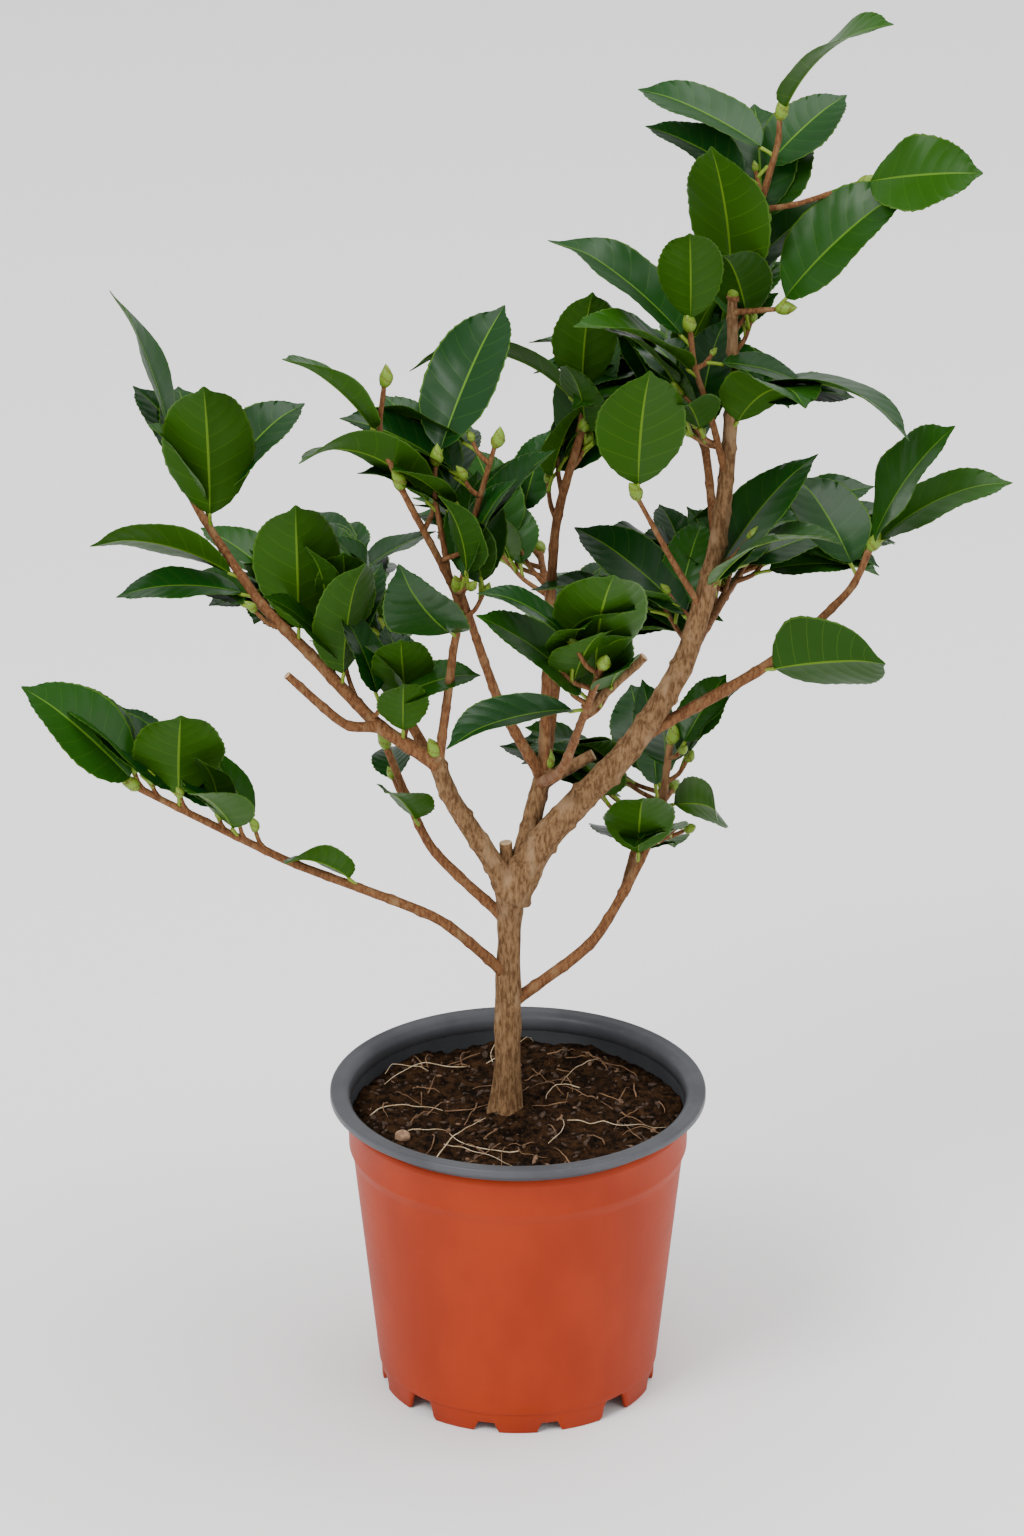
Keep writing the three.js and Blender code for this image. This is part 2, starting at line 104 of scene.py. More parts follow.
def bell(value: Array, centre: float | Array, width: float | Array) -> Array:
    """The bell curve exp(-((value - centre) / width)^2)."""
    return np.exp(-(((value - centre) / width) ** 2))


class Noise:
    """Smooth noise in space: random values on a repeating lattice, blended between its points."""

    SIZE = 32

    def __init__(self, seed: int) -> None:
        """Deals the lattice its values from a seed."""
        self.values = np.random.default_rng(seed).uniform(-1.0, 1.0, (self.SIZE,) * 3)

    def __call__(self, points: Array, scale: float) -> Array:
        """Reads the noise, between -1 and 1.

        Args:
            points: places, with x, y and z on the last axis, in millimetres.
            scale: the size of one lattice cell, in millimetres.

        Returns:
            One number for each place: the eight nearest values blended by 3t^2 - 2t^3 on each axis.
        """
        low = np.floor(points / scale).astype(int)
        part = points / scale - low
        part = part * part * (3.0 - 2.0 * part)
        total = np.zeros(points.shape[:-1])
        for corner in np.ndindex(2, 2, 2):
            index = (low + corner) % self.SIZE
            weight = np.prod(np.where(corner, part, 1.0 - part), axis=-1)
            total += weight * self.values[index[..., 0], index[..., 1], index[..., 2]]
        return total


@dataclass
class Shell:
    """A closed surface, or several: points, four-cornered faces and the slot of each face."""

    points: Array
    faces: Array
    slots: Array

    @staticmethod
    def joined(shells: list["Shell"]) -> "Shell":
        """One shell that holds all the given ones side by side."""
        starts = np.cumsum([0] + [len(s.points) for s in shells[:-1]])
        return Shell(
            np.concatenate([s.points for s in shells]),
            np.concatenate([s.faces + start for s, start in zip(shells, starts)]),
            np.concatenate([s.slots for s in shells]),
        )


def grid_faces(rows: int, columns: int, wrap: bool) -> Array:
    """The faces of a grid of points, numbered row by row.

    Args:
        rows: how many rows of points.
        columns: how many points in a row.
        wrap: True where the last column joins the first.

    Returns:
        An array of faces by row and column, with four corners each.
    """
    row, column = np.meshgrid(np.arange(rows - 1), np.arange(columns - (not wrap)), indexing="ij")
    following = (column + 1) % columns
    low, high = row * columns, (row + 1) * columns
    return np.stack([low + column, low + following, high + following, high + column], -1)


class Path:
    """A smooth line through points, read by the fraction of its length."""

    SAMPLES = 48

    def __init__(self, points: Array, tension: float = 0.35) -> None:
        """Samples the cubic that passes through each point along the chord of its neighbours.

        Args:
            points: the points to pass through.
            tension: the slope at a point, as a part of the chord between its neighbours.
        """
        around = np.vstack([2 * points[0] - points[1], points, 2 * points[-1] - points[-2]])
        before, start, end, after = (around[i:len(around) - 3 + i, None] for i in range(4))
        slope_in, slope_out = tension * (end - before), tension * (after - start)
        t = np.linspace(0.0, 1.0, self.SAMPLES, endpoint=False)[None, :, None]
        cubic = (2 * start - 2 * end + slope_in + slope_out) * t**3
        square = (3 * end - 3 * start - 2 * slope_in - slope_out) * t**2
        line = (cubic + square + slope_in * t + start).reshape(-1, 3)
        self.line = np.vstack([line, points[-1:]])
        steps = np.linalg.norm(np.diff(self.line, axis=0), axis=1)
        self.length = float(steps.sum())
        self.along = np.concatenate([[0.0], np.cumsum(steps)]) / self.length

    def at(self, fraction: float | Array) -> Array:
        """Points at fractions of the length."""
        return np.stack([np.interp(fraction, self.along, self.line[:, i]) for i in range(3)], -1)

    def tangent(self, fraction: float | Array) -> Array:
        """Directions of travel at fractions of the length."""
        fraction = np.asarray(fraction)
        return unit(self.at(np.minimum(fraction + 0.01, 1.0)) - self.at(np.maximum(fraction - 0.01, 0.0)))

    def frames(self, fraction: Array) -> tuple[Array, Array]:
        """Two directions square to the path, found from the axis that it follows least."""
        ahead = self.tangent(fraction)
        least = np.eye(3)[np.argmin(np.abs(ahead).max(axis=0))]
        side = unit(np.cross(least, ahead))
        return side, np.cross(ahead, side)


def tube(path: Path, radius: Callable[[Array, Array], Array], sides: int, step: float,
         cut_slot: int | None = None) -> Shell:
    """A round limb along a path: point = path(along) + radius(along, turn) * (cos, sin) of the turn.

    Args:
        path: the line it follows.
        radius: the radius for fractions along and turns in radians.
        sides: points round it.
        step: length between rings, in millimetres.
        cut_slot: the slot of a sawn, flat tip; a tip that isn't sawn is rounded.

    Returns:
        The closed shell.
    """
    rows = max(4, round(path.length / step))
    along = np.linspace(0.0, 1.0, rows)[:, None]
    turn = np.linspace(0.0, 2 * np.pi, sides, endpoint=False)[None, :]
    side, across = path.frames(along[:, 0])
    reach = radius(along, turn)
    spin = np.cos(turn)[..., None] * side[:, None] + np.sin(turn)[..., None] * across[:, None]
    rings = path.at(along[:, 0])[:, None] + reach[..., None] * spin
    tip = rings[-1] - path.at(1.0)
    bulge = 0.0 if cut_slot is not None else 0.8 * float(reach[-1].mean())
    ahead = path.tangent(1.0)
    ends = [path.at(0.0) + 0 * tip]
    tips = [path.at(1.0) + 0.7 * tip + 0.7 * bulge * ahead, path.at(1.0) + 0 * tip + bulge * ahead]
    grid = np.concatenate([ends, rings, tips])
    faces = grid_faces(len(grid), sides, True)
    slots = np.zeros(faces.shape[:2], int)
    if cut_slot is not None:
        slots[-2:] = cut_slot
    return Shell(grid.reshape(-1, 3), faces.reshape(-1, 4), slots.ravel())


def turned(profile: Array, steps: int, lift: Callable[[Array, Array], Array] | None = None,
           slots: Array | None = None) -> Shell:
    """A surface turned round the pot's axis: (r cos a, r sin a, z) for each profile point and angle.

    Args:
        profile: rows of [radius, height], from start to end of the section.
        steps: how many angles.
        lift: gives new heights from the angles and the profile's point numbers.
        slots: the slot of the faces after each profile point.

    Returns:
        The shell, closed if the section starts and ends on the axis or at one point.
    """
    angle = np.linspace(0.0, 2 * np.pi, steps, endpoint=False)[None, :]
    radius = np.broadcast_to(profile[:, :1], (len(profile), steps))
    height = np.broadcast_to(profile[:, 1:], radius.shape)
    if lift is not None:
        height = lift(angle, height)
    points = np.stack([radius * np.cos(angle), radius * np.sin(angle), height], -1)
    faces = grid_faces(len(profile), steps, True)
    kinds = np.zeros(len(profile) - 1, int) if slots is None else slots
    return Shell(points.reshape(-1, 3), faces.reshape(-1, 4), np.repeat(kinds, steps))


# ---------------------------------------------------------------- materials


class Signal:
    """A socket in a material's nodes, so that shader maths can be written as an expression."""

    def __init__(self, finish: "Nodes", socket: Any) -> None:
        """Wraps an output socket of a material's nodes."""
        self.finish = finish
        self.socket = socket

    def _math(self, operation: str, *values: Any) -> "Signal":
        """A Math node on numbers."""
        inputs = dict(enumerate(values))
        return self.finish.node("ShaderNodeMath", {"operation": operation}, inputs)

    def __add__(self, other: Any) -> "Signal":
        """Adds."""
        return self._math("ADD", self, other)

    __radd__ = __add__

    def __sub__(self, other: Any) -> "Signal":
        """Takes the other from this."""
        return self._math("SUBTRACT", self, other)

    def __mul__(self, other: Any) -> "Signal":
        """Multiplies."""
        return self._math("MULTIPLY", self, other)

    __rmul__ = __mul__

    def between(self, low: float, high: float) -> "Signal":
        """Rises smoothly from 0 to 1 as the value goes from low to high."""
        settings = {"interpolation_type": "SMOOTHSTEP"}
        return self.finish.node("ShaderNodeMapRange", settings, {"Value": self, 1: low, 2: high})


class Nodes:
    """A material under construction, with its Principled shader."""

    def __init__(self, name: str, **constants: Any) -> None:
        """Makes the material and sets the sockets that are the same all over.

        Args:
            name: the material's name.
            constants: values for the shader's sockets, with _ for a space in a socket's name.
        """
        self.material = bpy.data.materials.new(name)
        self.material.use_nodes = True
        self.tree = self.material.node_tree
        self.shader = self.tree.nodes["Principled BSDF"]
        for key, value in constants.items():
            self.shader.inputs[key.replace("_", " ")].default_value = value

    def _feed(self, socket: Any, value: Any) -> None:
        """Links a signal to an input, or sets its value."""
        if isinstance(value, Signal):
            self.tree.links.new(value.socket, socket)
        elif isinstance(value, tuple) and len(value) == 3 and socket.type == "RGBA":
            socket.default_value = (*value, 1.0)
        else:
            socket.default_value = value

    def node(self, kind: str, settings: dict[str, Any], inputs: dict[Any, Any],
             output: int | str = 0) -> Signal:
        """Adds a node.

        Args:
            kind: the node's type.
            settings: its properties, set first.
            inputs: values or signals by socket name or number.
            output: which output to return.

        Returns:
            The signal of that output.
        """
        made = self.tree.nodes.new(kind)
        for key, value in settings.items():
            setattr(made, key, value)
        for key, value in inputs.items():
            self._feed(made.inputs[key], value)
        return Signal(self, made.outputs[output])

    def place(self, stretch: tuple[float, float, float] = (1.0, 1.0, 1.0)) -> Signal:
        """Object coordinates, stretched by a scale on each axis."""
        spot = self.node("ShaderNodeTexCoord", {}, {}, "Object")
        return self.node("ShaderNodeMapping", {}, {"Vector": spot, "Scale": stretch})

    def noise(self, spot: Signal, size: float, detail: float = 3.0, rough: float = 0.55) -> Signal:
        """Noise from 0 to 1 with features of a size in millimetres."""
        inputs = {"Vector": spot, "Scale": 1.0 / (size * MM), "Detail": detail, "Roughness": rough}
        return self.node("ShaderNodeTexNoise", {}, inputs, "Fac")

    def mix(self, mask: Signal, low: Any, high: Any) -> Signal:
        """A colour that goes from low to high as the mask goes from 0 to 1."""
        return self.node("ShaderNodeMix", {"data_type": "RGBA"}, {0: mask, 6: low, 7: high}, 2)

    def bump(self, height: Signal, depth: float, strength: float = 1.0) -> None:
        """Feeds the shader's normal from a height, whose full range is a depth in millimetres."""
        inputs = {"Strength": strength, "Distance": depth * MM, "Height": height}
        self.feed("Normal", self.node("ShaderNodeBump", {}, inputs))

    def feed(self, name: str, value: Signal) -> None:
        """Links a signal to one of the shader's inputs."""
        self._feed(self.shader.inputs[name], value)


Colour = tuple[float, float, float]


@dataclass(frozen=True)
class LeafFinish:
    """One plain leaf colour, with gloss that wanders a little over the blade."""

    name: str
    colour: Colour
    gloss_low: float
    gloss_high: float
    shine: float = 0.12

    def material(self) -> bpy.types.Material:
        """Makes the material: the roughness goes from low to high with a soft noise."""
        nodes = Nodes(self.name, Base_Color=(*self.colour, 1.0), Specular_IOR_Level=self.shine)
        blotch = nodes.noise(nodes.place(), 9.0, 2.0)
        nodes.feed("Roughness", self.gloss_low + (self.gloss_high - self.gloss_low) * blotch)
        return nodes.material


@dataclass(frozen=True)
class BarkFinish:
    """Bark: two browns and a pale bloom in streaks along the stem, over a fine fissured relief."""

    name: str
    dark: Colour
    light: Colour
    bloom: Colour
    roughness: float
    grain: float
    depth: float

    def material(self) -> bpy.types.Material:
        """Makes the material from noise that is stretched up the stems."""
        nodes = Nodes(self.name, Specular_IOR_Level=0.12)
        streak = nodes.noise(nodes.place((1.0, 1.0, 0.28)), self.grain, 4.0, 0.62)
        patch = nodes.noise(nodes.place((1.0, 1.0, 0.55)), self.grain * 6.0, 3.0)
        speck = nodes.noise(nodes.place(), self.grain * 0.4, 2.0)
        base = nodes.mix(streak.between(0.34, 0.66), self.dark, self.light)
        nodes.feed("Base Color", nodes.mix(patch.between(0.52, 0.72) * 0.75, base, self.bloom))
        nodes.feed("Roughness", self.roughness + 0.18 * (speck - 0.5))
        nodes.bump(streak * 0.7 + speck * 0.3, self.depth)
        return nodes.material


@dataclass(frozen=True)
class CutWoodFinish:
    """A sawn end: pale wood flecked with brown by fine noise, inside the darker rim of the bark."""

    name: str = "cut_wood"
    pale: Colour = (0.55, 0.40, 0.22)
    brown: Colour = (0.30, 0.18, 0.09)

    def material(self) -> bpy.types.Material:
        """Makes the material from fine noise."""
        nodes = Nodes(self.name, Roughness=0.8)
        grain = nodes.noise(nodes.place(), 0.8, 3.0)
        nodes.feed("Base Color", nodes.mix(grain.between(0.4, 0.7), self.pale, self.brown))
        nodes.bump(grain, 0.15)
        return nodes.material


@dataclass(frozen=True)
class PlasticFinish:
    """Thin moulded plastic: a faint mottle, dusty patches, fine scuffs and a pebbled skin."""

    name: str
    colour: Colour
    deep: Colour
    dust: Colour
    roughness: float
    scuff: float

    def material(self) -> bpy.types.Material:
        """Makes the material: mottle and dust in the colour, scuffs in the gloss, skin in the bump."""
        nodes = Nodes(self.name, Specular_IOR_Level=0.16)
        mottle = nodes.noise(nodes.place((1.0, 1.0, 0.6)), 34.0, 3.0)
        fleck = nodes.noise(nodes.place(), 1.6, 3.0, 0.7)
        scuffs = nodes.noise(nodes.place((1.0, 1.0, 9.0)), 14.0, 5.0, 0.7)
        base = nodes.mix(mottle.between(0.35, 0.68), self.colour, self.deep)
        worn = (scuffs.between(0.58, 0.8) * self.scuff) + (fleck.between(0.62, 0.78) * 0.12)
        nodes.feed("Base Color", nodes.mix(worn, base, self.dust))
        nodes.feed("Roughness", self.roughness + 0.16 * (scuffs - 0.5) + 0.08 * (fleck - 0.5))
        nodes.bump(fleck * 0.7 + mottle * 0.3, 0.06)
        return nodes.material


@dataclass(frozen=True)
class SoilFinish:
    """Moist peat: near-black crumbs, brown fibres and a few pale flecks."""

    name: str = "soil"
    black: Colour = (0.005, 0.003, 0.002)
    brown: Colour = (0.045, 0.021, 0.009)
    fleck: Colour = (0.15, 0.08, 0.038)

    def material(self) -> bpy.types.Material:
        """Makes the material from three sizes of noise."""
        nodes = Nodes(self.name, Roughness=0.95, Specular_IOR_Level=0.05)
        spot = nodes.place()
        crumb = nodes.noise(spot, 5.0, 5.0, 0.7)
        grit = nodes.noise(spot, 1.1, 3.0, 0.7)
        base = nodes.mix(crumb.between(0.38, 0.66), self.black, self.brown)
        nodes.feed("Base Color", nodes.mix(grit.between(0.6, 0.74) * 0.8, base, self.fleck))
        nodes.bump(crumb * 0.5 + grit * 0.5, 1.2)
        return nodes.material


@dataclass(frozen=True)
class FleckedFinish:
    """A small natural thing, such as a root, a chip or a pebble: two colours in soft flecks."""

    name: str
    colour: Colour
    second: Colour
    roughness: float
    size: float

    def material(self) -> bpy.types.Material:
        """Makes the material from one noise."""
        nodes = Nodes(self.name, Roughness=self.roughness)
        fleck = nodes.noise(nodes.place(), self.size, 3.0, 0.6)
        nodes.feed("Base Color", nodes.mix(fleck.between(0.38, 0.66), self.colour, self.second))
        nodes.bump(fleck, 0.2)
        return nodes.material


TERRACOTTA = PlasticFinish(
    "terracotta", (0.33, 0.031, 0.0045), (0.285, 0.025, 0.0035), (0.38, 0.062, 0.015), 0.52, 0.14)
GREY_RIM = PlasticFinish(
    "grey_rim", (0.082, 0.084, 0.094), (0.060, 0.062, 0.070), (0.20, 0.20, 0.21), 0.40, 0.3)
GREY_INSIDE = PlasticFinish(
    "grey_inside", (0.022, 0.023, 0.026), (0.014, 0.015, 0.017), (0.06, 0.055, 0.05), 0.55, 0.3)
OLD_BARK = BarkFinish(
    "old_bark", (0.090, 0.044, 0.018), (0.225, 0.128, 0.060), (0.295, 0.185, 0.100), 0.86, 1.6, 0.5)
YOUNG_BARK = BarkFinish(
    "young_bark", (0.105, 0.040, 0.015), (0.205, 0.094, 0.038), (0.25, 0.147, 0.068), 0.72, 1.3, 0.25)


def vein_of(blade: LeafFinish, pale: Colour, share: float) -> LeafFinish:
    """The finish of the side veins on a blade: its own colour with a share of a paler one."""
    colour = tuple(own + share * (other - own) for own, other in zip(blade.colour, pale))
    return LeafFinish(f"{blade.name}_vein", colour, blade.gloss_low, blade.gloss_high, blade.shine)


UPPERS = (
    LeafFinish("leaf_deep", (0.0045, 0.034, 0.0040), 0.24, 0.38, 0.20),
    LeafFinish("leaf_dark", (0.0060, 0.043, 0.0038), 0.24, 0.38, 0.20),
    LeafFinish("leaf_green", (0.0100, 0.055, 0.0025), 0.26, 0.40, 0.18),
    LeafFinish("leaf_fresh", (0.0150, 0.066, 0.0015), 0.28, 0.42, 0.16),
    LeafFinish("leaf_bright", (0.0240, 0.088, 0.0012), 0.30, 0.44, 0.15),
)
UNDERS = (
    LeafFinish("under_dull", (0.0140, 0.056, 0.0012), 0.44, 0.58),
    LeafFinish("under_olive", (0.0200, 0.070, 0.0010), 0.44, 0.58),
    LeafFinish("under_light", (0.0300, 0.092, 0.0010), 0.44, 0.58),
)
VEINS = tuple(vein_of(upper, (0.07, 0.16, 0.012), 0.14) for upper in UPPERS)
UNDER_VEINS = tuple(vein_of(under, (0.11, 0.22, 0.012), 0.18) for under in UNDERS)
LEAF_MARGIN = LeafFinish("leaf_margin", (0.045, 0.11, 0.008), 0.35, 0.5)
LEAF_RIB = LeafFinish("leaf_rib", (0.075, 0.165, 0.012), 0.35, 0.48)
UNDER_RIB = LeafFinish("under_rib", (0.095, 0.185, 0.010), 0.40, 0.55)
LEAF_STALK = LeafFinish("leaf_stalk", (0.17, 0.25, 0.020), 0.40, 0.55, 0.25)
BUD_GREEN = LeafFinish("bud_green", (0.15, 0.25, 0.022), 0.35, 0.5, 0.3)
BUD_BROWN = LeafFinish("bud_brown", (0.13, 0.15, 0.018), 0.45, 0.6, 0.2)
LEAF_FINISHES = (*UPPERS, *VEINS, *UNDERS, *UNDER_VEINS, LEAF_MARGIN, LEAF_RIB, UNDER_RIB, LEAF_STALK)
SLOT = {finish.name: number for number, finish in enumerate(LEAF_FINISHES)}


# ---------------------------------------------------------------- pieces


class Workshop:
    """Makes the pieces: turns shells into objects, dresses them and ties them to the frame."""

    def __init__(self) -> None:
        """Starts with no materials made."""
        self.made: dict[str, bpy.types.Material] = {}

    def material(self, finish: Any) -> bpy.types.Material:
        """The material of a finish, made once."""
        if finish.name not in self.made:
            self.made[finish.name] = finish.material()
        return self.made[finish.name]

    def piece(self, name: str, shell: Shell, finishes: tuple[Any, ...],
              replaces: tuple[str, ...] = ()) -> bpy.types.Object:
        """Makes one object from a shell.

        Args:
            name: the piece's name.
            shell: its closed surface, in millimetres.
            finishes: a finish for each slot number in the shell.
            replaces: the CAD nodes that it stands for.

        Returns:
            The object.
        """
        mesh = bpy.data.meshes.new(name)
        mesh.from_pydata((shell.points * MM).tolist(), [], shell.faces.tolist())
        mesh.polygons.foreach_set("material_index", shell.slots.astype(np.int32))
        mesh.polygons.foreach_set("use_smooth", np.ones(len(mesh.polygons), bool))
        for finish in finishes:
            mesh.materials.append(self.material(finish))
        made = bpy.data.objects.new(name, mesh)
        bpy.context.scene.collection.objects.link(made)
        self._close(made)
        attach(made, "root")
        if replaces:
            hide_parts(*replaces)
        LOG.info("%s: %d faces", name, len(made.data.polygons))
        return made

    @staticmethod
    def _close(made: bpy.types.Object) -> None:
        """Merges the points that meet at poles and seams and turns every face outwards."""
        mesh = bmesh.new()
        mesh.from_mesh(made.data)
        bmesh.ops.remove_doubles(mesh, verts=mesh.verts, dist=1e-6)
        bmesh.ops.dissolve_degenerate(mesh, dist=1e-7, edges=mesh.edges)
        bmesh.ops.recalc_face_normals(mesh, faces=mesh.faces)
        mesh.to_mesh(made.data)
        mesh.free()


@dataclass
class Pot:
    """The nursery pot: a terracotta cup on four notched feet, grey inside, with a grey rolled rim."""

    rim_radius: float = 95.0
    rim_top: float = 161.0
    rim_lip: float = 4.0
    mouth_radius: float = 88.5
    band_radius: float = 86.0
    band_foot: float = 131.0
    ridge_height: float = 148.0
    shoulder: float = 5.0
    base_radius: float = 70.8
    wall_slope: float = 0.11
    wall: float = 1.5
    seam_height: float = 11.0
    foot_radius: float = 69.4
    foot_half_angle: float = 38.0
    notch_angle: float = 13.5
    notch_half_angle: float = 3.4
    notch_height: float = 5.2
    steps: int = 360

    def wall_radius(self, height: float) -> float:
        """The wall's outer radius under the band."""
        return self.base_radius + self.wall_slope * (height - self.seam_height)

    def foot_edge(self, angle: Array) -> Array:
        """How high the feet's lower edge is at an angle: 0 on a foot, with soft-sided openings.

        Args:
            angle: the angle round the pot, in radians.

        Returns:
            The height in millimetres: low notches in a foot and open gaps between two feet.
        """
        quarter = np.degrees(angle) % 90.0
        off = np.abs(np.where(quarter > 45.0, quarter - 90.0, quarter))
        into_notch = smooth(0.0, 2.2, self.notch_half_angle + 2.2 - np.abs(off - self.notch_angle))
        into_gap = smooth(0.0, 2.6, off - self.foot_half_angle + 0.6)
        return np.maximum(self.notch_height * into_notch, (self.seam_height - 1.6) * into_gap)

    def cup(self) -> Shell:
        """The cup's section, turned: floor, skirt with its feet, wall, shoulder, band and the inside."""
        shoulder = self.band_foot - self.shoulder
        skirt_in = self.foot_radius - 1.8
        top = self.rim_top - 9.0
        outside = [
            (0.0, self.seam_height + 0.2),
            (skirt_in - 1.2, self.seam_height + 0.2),
            (skirt_in, self.seam_height - 1.0),
            (skirt_in, 0.4),
            (skirt_in + 0.4, 0.0),
            (self.foot_radius - 0.5, 0.0),
            (self.foot_radius, 0.5),
            (self.foot_radius + 0.5, self.seam_height - 0.6),
            (self.foot_radius + 0.7, self.seam_height - 0.1),
            (self.base_radius - 0.1, self.seam_height + 0.1),
            (self.base_radius + 0.1, self.seam_height + 0.7),
        ]
        heights = np.linspace(self.seam_height + 3.0, shoulder - 1.5, 12)
        wall = [(self.wall_radius(h), h) for h in heights]
        band = [
            (self.wall_radius(shoulder) + 0.05, shoulder - 0.3),
            (self.wall_radius(shoulder) + 0.35, shoulder + 0.4),
            (self.band_radius - 0.9, self.band_foot - 0.9),
            (self.band_radius - 0.5, self.band_foot),
            (self.band_radius - 0.45, self.band_foot + 1.0),
            (self.band_radius - 0.1, self.ridge_height - 0.9),
            (self.band_radius + 0.35, self.ridge_height),
            (self.band_radius - 0.1, self.ridge_height + 0.9),
            (self.band_radius, top),
        ]
        inside = [
            (self.band_radius - self.wall, top),
            (self.band_radius - 0.6 - self.wall, self.band_foot),
            (self.wall_radius(shoulder) - self.wall, shoulder),
            (self.base_radius - self.wall, self.seam_height + self.wall),
            (0.0, self.seam_height + self.wall),
        ]
        profile = np.array(outside + wall + band + inside)
        slots = np.zeros(len(profile) - 1, int)
        slots[-len(inside):] = 1
        feet = np.arange(len(profile))[:, None]
        low = (feet >= 3) & (feet <= 6)

        def lift(angle: Array, height: Array) -> Array:
            """Raises the feet's lower edge where a notch or a gap is."""
            return np.where(low, np.minimum(height + self.foot_edge(angle), self.seam_height - 1.2), height)

        return turned(profile, self.steps, lift, slots)

    def rim(self) -> Shell:
        """The rolled rim's section, turned: sleeve, rounded mouth, flat top and outer lip."""
        top, lip = self.rim_top, self.rim_top - self.rim_lip
        sleeve = self.rim_top - 9.7
        inner = self.band_radius - self.wall
        corner = np.radians(np.linspace(180.0, 90.0, 7))
        mouth = np.stack([
            self.mouth_radius + 1.2 + (self.mouth_radius + 1.2 - inner - 0.3) * np.cos(corner),
            top - 4.2 + 4.1 * np.sin(corner),
        ], 1)
        edge = np.radians(np.linspace(90.0, 0.0, 6))
        outer = np.stack([self.rim_radius - 1.3 + 1.3 * np.cos(edge), top - 1.3 + 1.3 * np.sin(edge)], 1)
        under = np.array([
            [self.rim_radius, lip + 0.4],
            [self.rim_radius - 0.4, lip],
            [self.rim_radius - 1.4, lip + 0.3],
            [self.rim_radius - 1.9, top - 1.9],
            [self.mouth_radius + 1.8, top - 2.0],
            [self.band_radius + 0.7, lip - 1.6],
            [self.band_radius + 0.1, sleeve],
            [inner, sleeve],
        ])
        crease = np.array([[self.rim_radius - 2.6, top - 0.25]])
        profile = np.concatenate([[[inner, sleeve]], mouth, crease, outer, under])
        return turned(profile, self.steps)

    def build(self, shop: Workshop) -> None:
        """Makes the cup and the rim."""
        feet = tuple(f"pot_foot_{i}" for i in range(1, 5))
        finishes = (TERRACOTTA, GREY_INSIDE)
        shop.piece("pot_cup", self.cup(), finishes, ("pot_wall", *feet))
        shop.piece("pot_rolled_rim", self.rim(), (GREY_RIM,), ("pot_rim",))


